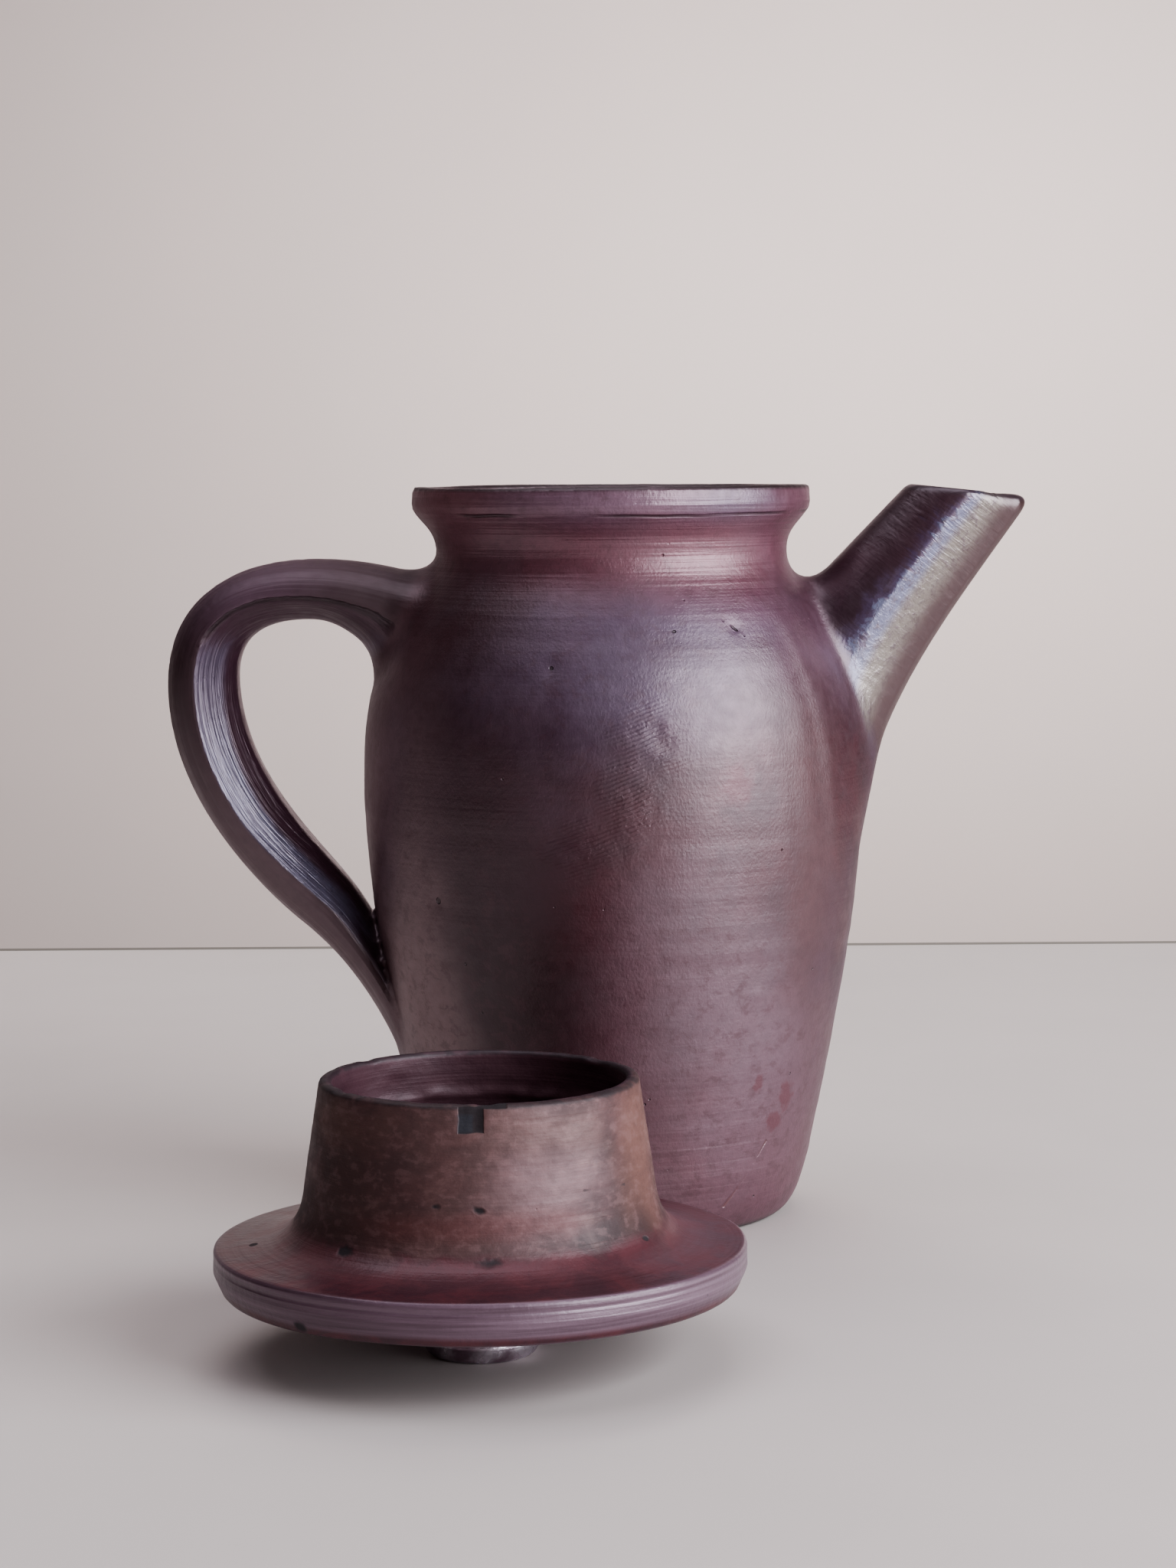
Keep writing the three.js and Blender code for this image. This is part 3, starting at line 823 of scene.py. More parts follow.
# %% [markdown]
# A turned form follows a rule: one line, spun round an axis. That suits Geometry Nodes. The tree
# below takes a line of points, lays a grid that has one row for each point and one column for each
# step of the turn, bends the grid round the axis, welds the seam and the poles, and presses in
# fine wheel rings from a seeded noise. Its sizes are named inputs, so the same tree makes both the
# lid and its knob.

# %% The turning tree
def turning_tree():
    tree = bpy.data.node_groups.new("turned clay", "GeometryNodeTree")
    for name, kind, start in (
            ("Line", "Geometry", None), ("Turns", "Int", 180), ("Ring Depth", "Float", 0.001),
            ("Ring Spacing", "Float", 0.001), ("Sway", "Float", 0.001), ("Seed", "Int", 1),
            ("Finish", "Material", None)):
        socket = tree.interface.new_socket(name, in_out="INPUT", socket_type="NodeSocket" + kind)
        if start is not None:
            socket.default_value = start
    tree.interface.new_socket("Turned", in_out="OUTPUT", socket_type="NodeSocketGeometry")
    n = Nodes(tree)
    given = n.put("NodeGroupInput")
    line, turns, spacing = given["Line"], given["Turns"], given["Ring Spacing"]
    here = n.put("GeometryNodeInputPosition")

    # the grid, bent round the axis
    rows = n.put("GeometryNodeAttributeDomainSize", {"component": "MESH"}, _0=line)["Point Count"]
    columns = turns + 1.0
    grid = n.put("GeometryNodeMeshGrid", _2=rows, _3=columns)
    index = n.put("GeometryNodeInputIndex")
    row = n.calc("FLOOR", (index + 0.5) / columns)
    turn = (index - row * columns) / turns * math.tau
    point = n.put("GeometryNodeSampleIndex", {"data_type": "FLOAT_VECTOR", "domain": "POINT"},
                  Geometry=line, Value=here, Index=row)
    radius, _, height = n.split(point)
    bent = n.vector(radius * n.calc("COSINE", turn), radius * n.calc("SINE", turn), height)
    spun = n.put("GeometryNodeSetPosition", Geometry=grid, Position=bent)
    welded = n.put("GeometryNodeMergeByDistance", Geometry=spun, Distance=2e-5)
    outwards = n.put("GeometryNodeFlipFaces", Mesh=welded)

    # the rings, which lean a little
    x, y, z = n.split(here)
    radius = n.calc("SQRT", n.calc("POWER", x, 2.0) + n.calc("POWER", y, 2.0))
    rings = n.noise(n.vector(radius / spacing, (z + x * 0.012) / spacing, given["Seed"] * 7.3), 1.0)
    swell = n.noise(here, 38.0, 0.0)
    depth = (rings - 0.5) * given["Ring Depth"] + (swell - 0.5) * given["Sway"]
    ringed = n.put("GeometryNodeSetPosition", Geometry=outwards,
                   Offset=n.scaled(n.put("GeometryNodeInputNormal"), depth))
    smooth = n.put("GeometryNodeSetShadeSmooth", Geometry=ringed)
    real = n.put("GeometryNodeRealizeInstances", Geometry=smooth)
    painted = n.put("GeometryNodeSetMaterial", Geometry=real, Material=given["Finish"])
    n.join(painted, tree.nodes.new("NodeGroupOutput").inputs[0])
    return tree


def turned_piece(name, line, tree, finish, **sizes):
    """Makes a piece from a line of (radius, height) points in millimetres with the turning tree."""
    flat = np.stack([line[:, 0], 0 * line[:, 0], line[:, 1]], -1) * 0.001
    mesh = bpy.data.meshes.new(name)
    mesh.from_pydata(flat.tolist(), [(i, i + 1) for i in range(len(flat) - 1)], [])
    piece = add_object(name, mesh)
    turning = piece.modifiers.new("turning", "NODES")
    turning.node_group = tree
    wanted = dict(sizes, Finish=finish)
    for item in tree.interface.items_tree:
        key = item.name.replace(" ", "_")
        if item.item_type == "SOCKET" and item.in_out == "INPUT" and key in wanted:
            turning[item.identifier] = wanted[key]
    return bake_modifiers(piece)


turned_clay = turning_tree()
print("turning tree inputs:", [i.name for i in turned_clay.interface.items_tree if i.in_out == "INPUT"])

# %% [markdown]
# The lid's line runs from the middle of its underside out to the bevelled edge, in over the plate
# to the fillet, up the collar, over its lip and down into the cup. The edge has a shallow
# groove that the turning tool left. The line is made dense, so that its arrises stay crisp.

# %% The lid's line
def dense(line, gap):
    """Adds points so that no step is longer than gap, and keeps every given point."""
    made = [line[:1]]
    for a, b in zip(line[:-1], line[1:]):
        count = max(1, int(math.ceil(np.hypot(*(b - a)) / gap)))
        made.append(a + (b - a) * np.linspace(0, 1, count + 1)[1:, None])
    return np.concatenate(made)


lid_radius, underside, cup_floor, lip_top = 62, 12.5, 18.9, 65.1
knob_base, knob_top = 0, 12.2
lid_line = dense(chain(
    [(0, underside)], bezier((12.4, underside), (31, 12.7), (46.5, 14.1), (56.7, 15.7), 16),
    [(59.7, 16.6), (60.2, 17.1), (61.5, 20.0), (61.8, 20.7), (lid_radius, 21.3), (lid_radius, 24.0),
     (61.82, 24.3), (61.98, 24.6), (lid_radius, 25.6), (61.8, 26.2), (61.2, 26.5)],
    [(57, 26.9)],
    bezier((53.0, 27.4), (45.4, 28.5), (42.2, 31.2), (40.95, 39.3), 18),
    bezier((40.95, 39.3), (40.0, 46.5), (38.4, 56), (37.2, 64.1), 6),
    [(37.0, 64.6), (36.7, 64.9), (36, lip_top), (34.7, lip_top), (34.25, 64.8), (34.0, 64.3)],
    bezier((37.3, 27.9), (37.3, 21.9), (34.3, cup_floor), (27.3, cup_floor), 9), [(0, cup_floor)]), 0.9)
knob_line = dense(chain(
    [(0, knob_base)], bezier((11.0, knob_base), (13.4, 0.1), (14.3, 3.2), (13.2, 6.1), 12),
    bezier((13.1, 6.1), (11.8, 8.3), (9.2, 7.56), (9.2, 10.0), 10),
    [(9.5, 11.0), (10.2, 11.6), (11.8, knob_top), (0, knob_top)]), 0.7)
print("lid line", len(lid_line), "points, knob line", len(knob_line))

# %% [markdown]
# The glaze is procedural: every colour, streak and pit is worked out from Object coordinates or
# from the stored ways, with no image. A finish is a node tree with some more helpers, for colours,
# patches, scratches and bumps. Colours are written as they look on a screen, from 0 to 255, and
# the places, sizes and widths of marks are in millimetres.

# %% Helpers for finishes
def shade(red, green, blue):
    """A colour as it looks on a screen, turned to the linear values of a shader."""
    def linear(value):
        value /= 255
        return value / 12.92 if value <= 0.04045 else ((value + 0.055) / 1.055) ** 2.4
    return (linear(red), linear(green), linear(blue), 1.0)


def in_metres(place):
    return [part * 0.001 for part in place]


class Finish(Nodes):
    def __init__(self, name):
        self.material = bpy.data.materials.new(name)
        self.material.use_nodes = True
        super().__init__(self.material.node_tree)
        self.tree.nodes.clear()
        self.shader = self.tree.nodes.new("ShaderNodeBsdfPrincipled")
        end = self.tree.nodes.new("ShaderNodeOutputMaterial")
        self.tree.links.new(self.shader.outputs[0], end.inputs[0])
        self.place = self.put("ShaderNodeTexCoord")["Object"]
        self.colour, self.grains = None, {}

    def finished(self, **values):
        """Gives the shader its colour and the other values, and gives back the material."""
        for name, value in dict(values, Base_Color=self.colour).items():
            self.join(value, self.shader.inputs[name.replace("_", " ")])
        return self.material

    def mix(self, share, a, b):
        a, b = (shade(*c) if isinstance(c, tuple) and len(c) == 3 else c for c in (a, b))
        return self.put("ShaderNodeMix", {"data_type": "RGBA"}, _0=share, _6=a, _7=b)[2]

    def coat(self, share, tint):
        """Lays a share of another colour over the colour so far."""
        self.colour = self.mix(share, self.colour, tint)

    def ease(self, value, low, high, start=0.0, stop=1.0):
        return self.put("ShaderNodeMapRange", {"interpolation_type": "SMOOTHSTEP"},
                        Value=value, From_Min=low, From_Max=high, To_Min=start, To_Max=stop)

    def between(self, value, low, high, a, b):
        """Colour a where the value is at low, b where it is at high."""
        return self.mix(self.ease(value, low, high), a, b)

    def rest(self, share):
        return self.calc("SUBTRACT", 1.0, share, True)

    def largest(self, *values):
        top = values[0]
        for value in values[1:]:
            top = self.calc("MAXIMUM", top, value)
        return top

    def stretch(self, vector, scale=(1, 1, 1), move=(0, 0, 0)):
        return self.put("ShaderNodeMapping", Vector=vector, Location=move, Scale=scale)

    def streaks(self, vector, scale, detail, roughness=0.5, warp=0.0):
        """Noise with its own number of bumps in a metre along each axis."""
        return self.noise(self.stretch(vector, scale), 1.0, detail, roughness, warp)

    def way(self, name, output="Vector"):
        return self.put("ShaderNodeAttribute", {"attribute_name": name})[output]

    def rough(self, grain, amount):
        """Noise of a grain, from about -amount / 2 to amount / 2. One node serves all its users."""
        if grain not in self.grains:
            self.grains[grain] = self.noise(self.place, grain, 1.0) - 0.5
        return self.grains[grain] * amount

    def spot(self, place, size, edge=0.25, ragged=1.0, grain=420, square=False):
        """A patch round a place, ragged at its edge: 1 in the middle, 0 outside."""
        away = self.arrow("SUBTRACT", self.place, in_metres(place))
        share = self.arrow("DIVIDE", away, in_metres(size))
        if square:
            length = self.largest(*self.split(self.arrow("ABSOLUTE", share)))
        else:
            length = self.arrow("LENGTH", share)["Value"]
        return self.ease(length + self.rough(grain, ragged), 1 + edge, 1 - edge)

    def stroke(self, start, stop, width, ragged=0.8):
        """A thin line, such as a scratch: 1 on it, 0 beside it."""
        start, width = Vector(in_metres(start)), width * 0.001
        span = Vector(in_metres(stop)) - start
        away = self.arrow("SUBTRACT", self.place, start)
        along = self.arrow("DOT_PRODUCT", away, span / span.length_squared)["Value"]
        nearest = self.scaled(span, self.calc("ADD", along, 0.0, True))
        gap = self.arrow("DISTANCE", away, nearest)["Value"] + self.rough(420, width * ragged)
        return self.ease(gap, width, width * 0.3)

    def marks(self, spots=(), strokes=()):
        """Rows of spots and strokes, taken together."""
        return self.largest(*(self.spot(*row) for row in spots), *(self.stroke(*row) for row in strokes))

    def clouds(self, rows, edge, ragged, grain):
        """Lays soft patches over the colour, from rows of place, size, share and tint."""
        for place, size, share, tint in rows:
            self.coat(self.spot(place, size, edge, ragged, grain) * share, tint)

    def pits(self, vector, scale, size, patches, least):
        """Small round pits, gathered in patches."""
        dots = self.put("ShaderNodeTexVoronoi", {"feature": "F1"}, Vector=vector, Scale=scale, Randomness=1.0)
        return self.ease(dots["Distance"], size, 0.02) * self.ease(self.noise(vector, patches, 1.0), least, 0.64)

    def bumps(self, *layers):
        """Stacks (height, depth in metres, strength) layers into one normal."""
        normal = None
        for height, depth, strength in layers:
            under = {} if normal is None else {"Normal": normal}
            normal = self.put("ShaderNodeBump", Strength=strength, Distance=depth, Height=height, **under)
        return normal


# %% [markdown]
# The pot's finish is a dark slip, burnished before a smoky firing: aubergine and brown, with a
# metallic sheen. Wide soft noise moves it from purple on the shoulder to maroon at the neck and
# grey-mauve near the foot. The wheel left level lines, strongest at the rim. The belly has a fine
# orange-peel grain, small pits and a few nicks. The handle and the spout have brush marks of
# their own, which follow the stored ways. The marks that sit at one place are listed first.

# %% Marks on the pot
pot_clouds = (
    ((-3, -63.2, 70), (20, 30, 34), 0.75, (84, 34, 46)),
    # darker patches on the left, the side away from the window: painted shade
    ((-30, -57, 72), (21, 30, 38), 0.85, (34, 10, 16)),
    ((-36, -52, 125), (20, 30, 40), 0.5, (64, 38, 48)),
    # lighter patches along the left edge and low on the left: painted reflection of the pale backdrop and table
    ((-56, -36, 112), (12, 20, 44), 0.7, (112, 88, 94)),
    ((-52, -37, 60), (13, 18, 32), 0.85, (138, 114, 116)),
    ((-66, -18, 120), (9, 15, 40), 0.85, (128, 102, 108)),
    # the rim band lighter at its left and front and darker at its right: painted light and shade
    ((-46, -30, 193), (14, 22, 12), 0.7, (140, 96, 104)),
    ((0, -50, 196), (30, 16, 5), 0.6, (122, 98, 118)),
    ((32, -43, 196), (16, 16, 5), 0.6, (84, 74, 98)),
    ((20, -54, 167), (30, 20, 8), 0.55, (88, 66, 94)),
    ((2, -62, 152), (34, 30, 18), 0.75, (92, 76, 98)),
    ((46, -30, 158), (16, 20, 14), 0.6, (86, 54, 78)),
    # a lighter maroon patch at the front of the neck: partly the slip's colour, partly painted sheen
    ((20, -42, 179), (34, 20, 10), 0.6, (112, 62, 74)),
    # lighter mauve-grey patches low on the right: painted reflection of the table
    ((18, -56, 75), (20, 30, 30), 0.6, (106, 86, 96)),
    ((34, -44, 50), (20, 20, 30), 0.6, (116, 92, 104)),
    ((50, -30, 112), (8, 30, 50), 0.6, (86, 54, 56)),
    ((40, 50, 100), (30, 30, 40), 0.6, (96, 50, 58)),
    ((-40, 50, 60), (30, 30, 26), 0.6, (90, 74, 78)))
red_spots = (
    ((45.5, -35.9, 37.3), (2.6, 3, 4), 0.3, 1.6), ((37.7, -45.3, 42), (1.4, 2.2, 2), 0.4, 2.0),
    ((41.9, -37.8, 30.2), (2.2, 3.5, 2.6), 0.3, 1.6), ((31.9, -60.7, 122.7), (4, 4, 5), 0.6),
    ((30, 48, 45), (3, 3, 4)), ((-40, 52, 88), (4, 4, 5), 0.5))
rough_spots = [row + (0.7, 1.6, 160) for row in (
    ((10, -67, 134.5), (8, 10, 7)), ((4, -68.5, 118), (6, 11, 13)),
    ((-7.1, -67.9, 106.9), (9, 10, 6)), ((-20, 64, 96), (12, 12, 14)))]
nick_spots = (
    ((15.6, -56.2, 162.6), (0.6, 2, 0.4)), ((-16.2, -60.7, 153.6), (0.5, 2, 0.5)),
    ((-46.7, -48.1, 91.8), (0.6, 1, 0.8)))
nick_strokes = (
    ((30.2, -49.5, 164.8), (32.2, -48.5, 162.2), 0.5), ((10, -67.2, 138), (10.8, -67.2, 136.8), 0.4),
    ((12.8, -66.8, 136.2), (13.6, -66.8, 135.2), 0.3))
spout_cracks = (
    ((83, -14.4, 173.4), (86.8, -13.6, 172.2), 0.35), ((86.8, -13.6, 172.2), (89.7, -12, 172.7), 0.3),
    ((88.4, -14.2, 183.5), (88, -14.2, 179), 0.35), ((97.8, -13.3, 190.9), (103.2, -10, 187.7), 0.3),
    ((93.5, 11.8, 180), (90, 12.5, 174.5), 0.35))
foot_scratch = (
    ((39.8, -38.6, 25.2), (34, -40.8, 16.5), 0.5), ((34, -40.8, 16.5), (28.3, -42.7, 8.5), 0.7))
print("clouds", len(pot_clouds), "nicks", len(nick_spots + nick_strokes), "cracks", len(spout_cracks))

# %% The pot's glaze
def pot_glaze():
    g = Finish("burnished_slip")
    x, _, z = g.split(g.place)
    handle, spout = g.way("handle_weight", "Fac"), g.way("spout_weight", "Fac")
    handle_way, spout_way = g.way("handle_way"), g.way("spout_way")
    wall = g.rest(g.largest(handle, spout))

    # the slip's wide colours, from the neck down to the foot
    wide = g.noise(g.stretch(g.place, (1, 1, 0.8), (0.31, 0.12, 0.05)), 11, 2.0, 0.5, 0.3)
    second = g.noise(g.stretch(g.place, (1, 1, 0.7), (0.7, 0.4, 0.2)), 17, 3.0, 0.55, 0.2)
    cloud = g.noise(g.place, 55, 4.0, 0.6)
    plum = g.between(cloud, 0.3, 0.7, (58, 30, 42), (76, 50, 64))
    maroon = g.between(cloud, 0.35, 0.7, (80, 42, 50), (58, 34, 42))
    mauve = g.between(second, 0.35, 0.65, (112, 74, 84), (90, 58, 70))
    smoke = g.between(cloud, 0.3, 0.7, (48, 22, 30), (66, 42, 52))
    g.colour = g.between(wide, 0.44, 0.60, plum, maroon)
    g.coat(g.ease(second, 0.50, 0.66) * 0.75, smoke)
    # a lighter maroon band at the neck and rim: partly the slip's colour, partly painted sheen
    g.coat(g.ease(z, 0.168, 0.183) * 0.75, g.mix(0.6, maroon, (132, 88, 104)))
    g.coat(g.ease(z, 0.075, 0.015) * g.ease(second, 0.30, 0.62, 0.35, 1.0), mauve)
    g.clouds(pot_clouds, 0.75, 1.2, 45)

    # the handle: darker, with a brushed inner flank, and a pale band on it and a light arris, both painted highlights
    along, off_arris, _ = g.split(handle_way)
    ragged = g.streaks(handle_way, (260, 700, 700), 2.0, 0.6)
    beside = off_arris + (ragged - 0.5) * 0.0012
    band = g.put("ShaderNodeMapRange", Value=z, From_Min=0.092, From_Max=0.145, To_Min=-0.0078, To_Max=-0.0108)
    flank = g.ease(beside, 0.0003, -0.0004) * handle
    wet = z + ragged * 0.008
    # the pale band beside the arris: painted highlight
    pale = g.ease(beside - band, -0.0012, 0.0016) * (g.ease(wet, 0.166, 0.158) * g.ease(wet, 0.077, 0.092)) * flank
    # the outer face, lighter low down on the slope: painted light bounced from the table
    outer = g.between(z, 0.140, 0.095, g.mix(cloud, (46, 24, 32), (62, 38, 46)), (96, 76, 82))
    g.coat(handle * 0.85, outer)
    # lighter purple along the crest: painted sheen
    crest_sheen = g.ease(z, 0.150, 0.172, 0.0, 0.80) * g.ease(along, 0.022, 0.050)
    g.coat(handle * crest_sheen, g.mix(cloud, (72, 42, 58), (88, 60, 80)))
    g.coat(flank * 0.9, g.mix(ragged, (56, 29, 42), (82, 54, 70)))
    painted_highlight_low = g.between(z, 0.145, 0.120, (98, 86, 106), (118, 117, 142))
    g.coat(pale, g.mix(ragged, (88, 76, 94), painted_highlight_low))
    # a light line along the arris low on the slope: painted highlight
    arris = g.ease(beside, 0.0005, 0.0) * g.ease(beside, -0.0024, -0.0008) * handle
    g.coat(arris * g.ease(z, 0.095, 0.060, 0.0, 0.7), (150, 140, 152))
    # a dark knot and the groove along the arris near the crest: painted shade
    knot_and_groove_shade = g.largest(g.spot((-98.5, -13.5, 158.5), (2.2, 6, 1.8), 0.5, 1.6), arris * g.ease(z, 0.157, 0.163))
    g.coat(knot_and_groove_shade * g.ease(ragged, 0.25, 0.5, 0.3, 0.85), (30, 10, 18))

    # the spout: a scraped band with torn edges and a painted silvery highlight on it, violet above it and brown below
    turn = g.split(spout_way)[1]
    worn = g.streaks(spout_way, (420, 520, 520), 3.0, 0.7)
    mottled = g.streaks(spout_way, (210, 300, 300), 4.0, 0.7, 0.3)
    strokes = g.streaks(spout_way, (900, 110, 110), 2.0, 0.6, 0.15)
    torn_edge = g.put("ShaderNodeMix", _0=g.ease(z, 0.168, 0.182, 0.15, 0.85), _2=mottled, _3=strokes)
    slow = g.streaks(spout_way, (95, 80, 80), 2.0, 0.6)
    torn_turn = turn + (slow - 0.5) * 0.011 + (torn_edge - 0.5) * 0.010
    scraped_band_and_highlight = g.ease(torn_turn, 0.0018, -0.0002) * g.ease(turn, -0.0122, -0.0062) * spout
    g.coat(spout * 0.8, g.mix(cloud, (50, 32, 40), (66, 48, 60)))
    violet = g.ease(torn_turn, 0.0060, 0.0004) * g.ease(worn, 0.30, 0.62, 0.35, 0.95)
    g.coat(violet * spout, (84, 70, 100))
    # browner and darker towards the lower edge: partly the clay's brown, partly painted shade
    g.coat(spout * g.ease(turn, -0.0030, -0.0085), (70, 48, 49))
    # the band's silver, bluish near its upper edge and beige lower down: painted reflection
    silver_highlight = g.between(turn, -0.0012, -0.0046, (118, 122, 150), (132, 125, 116))
    silver_highlight = g.mix(g.ease(worn, 0.50, 0.68, 0.0, 0.75), silver_highlight, (92, 78, 82))
    g.coat(scraped_band_and_highlight * 0.9, g.between(torn_edge, 0.45, 0.85, silver_highlight, (108, 95, 98)))
    past_lip = x * float(lip_out[0]) + z * float(lip_out[1]) - float(lip_low @ lip_out) * 0.001
    lip_edge = spout * g.ease(past_lip + ragged * 0.0006, -0.0020, -0.0004)
    g.coat(lip_edge * 0.75, (56, 44, 54))

    # fine mottling, red spots, and dark bands at the foot and the rim's top, painted shade
    fine = g.noise(g.place, 420, 3.0, 0.6)
    g.coat(g.ease(fine, 0.35, 0.75, 0.0, 0.35), g.mix(0.5, g.colour, (30, 18, 22)))
    speck = g.noise(g.stretch(g.place, (1, 1, 1.2), (0.2, 0.1, 0.3)), 230, 5.0, 0.72, 0.3)
    specked = g.ease(speck, 0.50, 0.64) * g.ease(z, 0.150, 0.060, 0.25, 0.50)
    g.coat(specked * wall, (70, 38, 46))
    g.coat(g.marks(red_spots) * 0.75, (84, 34, 46))
    # dark bands at the bottom of the foot and the top of the rim: painted shade
    foot_contact_shade, rim_edge_shade = g.ease(z, 0.0022, 0.0004), g.ease(z, 0.1984, 0.1997) * g.rest(spout)
    g.coat(g.largest(foot_contact_shade, rim_edge_shade) * g.ease(cloud, 0.2, 0.5, 0.6, 0.95), (34, 20, 22))

    # the wheel's level lines, strong at the rim and neck, faint on the belly, and one cut groove
    level = g.streaks(g.place, (14, 14, 900), 2.0, 0.6)
    broad = g.streaks(g.place, (9, 9, 340), 2.0)
    lines = g.largest(g.ease(z, 0.160, 0.185, 0.11, 1.0), g.ease(z, 0.05, 0.02, 0.16, 0.45)) * wall
    wheel = (level * 0.5 + broad) * lines
    off_groove = g.calc("ABSOLUTE", z + (g.noise(g.place, 60, 1.0) - 0.5) * 0.0014 - 0.1926)
    groove = g.ease(off_groove, 0.0006, 0.0001) * g.ease(g.noise(g.place, 26, 1.0), 0.4, 0.55) * g.rest(spout)

    # orange-peel grain, pits, nicks and the rough patches
    peel = g.noise(g.stretch(g.place, (1, 1, 0.7)), 1350, 2.0, 0.6)
    lumps = g.noise(g.place, 330)
    pit = g.pits(g.place, 150.0, 0.07, 40, 0.52)
    rough, nicks = g.marks(rough_spots), g.marks(nick_spots, nick_strokes)
    torn = g.noise(g.stretch(g.place, (1, 1, 1.2)), 420, 4.0, 0.65, 1.2)
    slanted = g.put("ShaderNodeMapping", Vector=g.place, Rotation=(0.0, 0.35, 0.0))
    ripples = g.put("ShaderNodeTexWave", {"bands_direction": "Z"}, Vector=slanted, Scale=290.0, Distortion=5.0,
                    Detail=1.0, Detail_Scale=0.35)["Fac"]

    # marks drawn along the handle and brushed round the spout
    drawn = g.streaks(handle_way, (30, 1100, 700), 3.0, 0.6, 0.3)
    pulled_lines = g.streaks(handle_way, (14, 380, 300), 2.0, 0.5, 0.2)
    dabs = g.streaks(spout_way, (90, 130, 130), 3.0, 0.6, 0.8)
    brushed = g.streaks(spout_way, (500, 160, 160), 2.0, 0.5, 1.0)
    crack, scratch = g.marks(strokes=spout_cracks), g.marks(strokes=foot_scratch)
    g.coat(scratch * 0.55, (100, 56, 56))
    # dark paint in the pits, nicks, cut groove and cracks: painted shade in these recesses
    g.coat(g.largest(pit * 0.35, nicks * 0.8, groove * 0.7, crack * 0.8), (26, 14, 18))

    normal = g.bumps(
        (wheel, 0.0006, 0.8), (groove, -0.0004, 0.9), (peel * wall, 0.0002, 0.45), (lumps, 0.00025, 0.16),
        (ripples * rough, 0.00028, 0.38), (torn * rough, 0.0005, 0.4), (g.largest(pit, nicks) * wall, -0.0005, 1.0),
        (drawn * flank, 0.00035, 0.8), (knot_and_groove_shade, -0.0006, 0.7), (pulled_lines * handle, 0.0007, 0.6),
        ((brushed * 0.25 + dabs) * spout, 0.0006, 0.5), (torn_edge, (scraped_band_and_highlight + spout * 0.3) * 0.0004, 0.6),
        (worn * scraped_band_and_highlight, 0.0003, 0.6), (g.largest(crack, scratch), -0.0003, 0.8))
    gloss = g.ease(cloud, 0.25, 0.75, 0.37, 0.47) + g.ease(g.noise(g.place, 300, 3.0), 0.3, 0.7, -0.03, 0.04)
    shiny = g.largest(pale * 0.13, flank * 0.08, spout * 0.06, scraped_band_and_highlight * 0.10)
    soft = handle * g.ease(z, 0.150, 0.165) * 0.10
    return g.finished(Roughness=gloss - shiny + soft, Normal=normal,
                      Metallic=0.25, IOR=2.0, Specular_Tint=(1.0, 0.90, 0.96, 1.0))


glaze = pot_glaze()
print("burnished_slip:", len(glaze.node_tree.nodes), "nodes")

# %% [markdown]
# The lid carries two finishes in one material. Its collar, which sits inside the pot's neck, was
# wiped almost bare before firing and shows mottled terracotta, ochre and brown with pale dusty clouds, and a painted
# sheen at its front right.
# The cup, the plate and its edge carry the same dark slip as the pot, redder where it is thin.
# The patches are told apart by radius and height from the lid's own axis.

# %% Marks on the lid
lid_at = (-0.0328, -0.1591)
lid_clouds = (
    ((-64, -178, 58), (12, 16, 6), 0.75, (98, 69, 63)),
    # a darker patch on the collar's left, away from the window: painted shade
    ((-60, -185, 44), (14, 16, 14), 0.7, (74, 46, 44)),
    ((5, -174, 52), (7, 16, 16), 0.8, (114, 78, 70)),
    # pale patches at the collar's front right: painted sheen
    ((-16, -196, 46), (14, 16, 9), 0.75, (122, 94, 98)),
    ((-14, -194, 59), (18, 16, 5), 0.55, (112, 82, 80)),
    ((-22, -198, 38.5), (26, 10, 3), 0.45, (104, 56, 56)),
    ((-30, -122, 48), (22, 14, 10), 0.7, (130, 94, 74)))
lid_chips = (
    ((-33.5, -196.4, 62), (2.8, 6, 2.9), 0.06, 0.26, 300, True),
    ((-28.5, -196.4, 64.8), (3, 6, 0.5), 0.10, 0.40, 300, True),
    ((-41.6, -198.4, 43), (1, 2, 0.5), 0.8, 3.0), ((-31.7, -199.5, 42.3), (1.3, 2, 0.6), 0.8, 3.0),
    ((-29.8, -202.1, 30.9), (3, 2.2, 1.2), 0.4), ((-61.2, -191, 31.3), (2.4, 2.2, 1.6), 0.4),
    ((4, -180.8, 31.4), (2.6, 1.2, 0.7), 0.3), ((-85.2, -166.7, 27.7), (0.9, 1.4, 0.8)),
    ((-71, -206.1, 18.3), (1.6, 1.6, 1.2), 0.4), ((20.5, -140, 22.2), (1.2, 1.6, 1.2), 0.4),
    ((-56, -124, 52), (2.2, 2.2, 1.6), 0.3))
print("clouds", len(lid_clouds), "chips and pits", len(lid_chips))

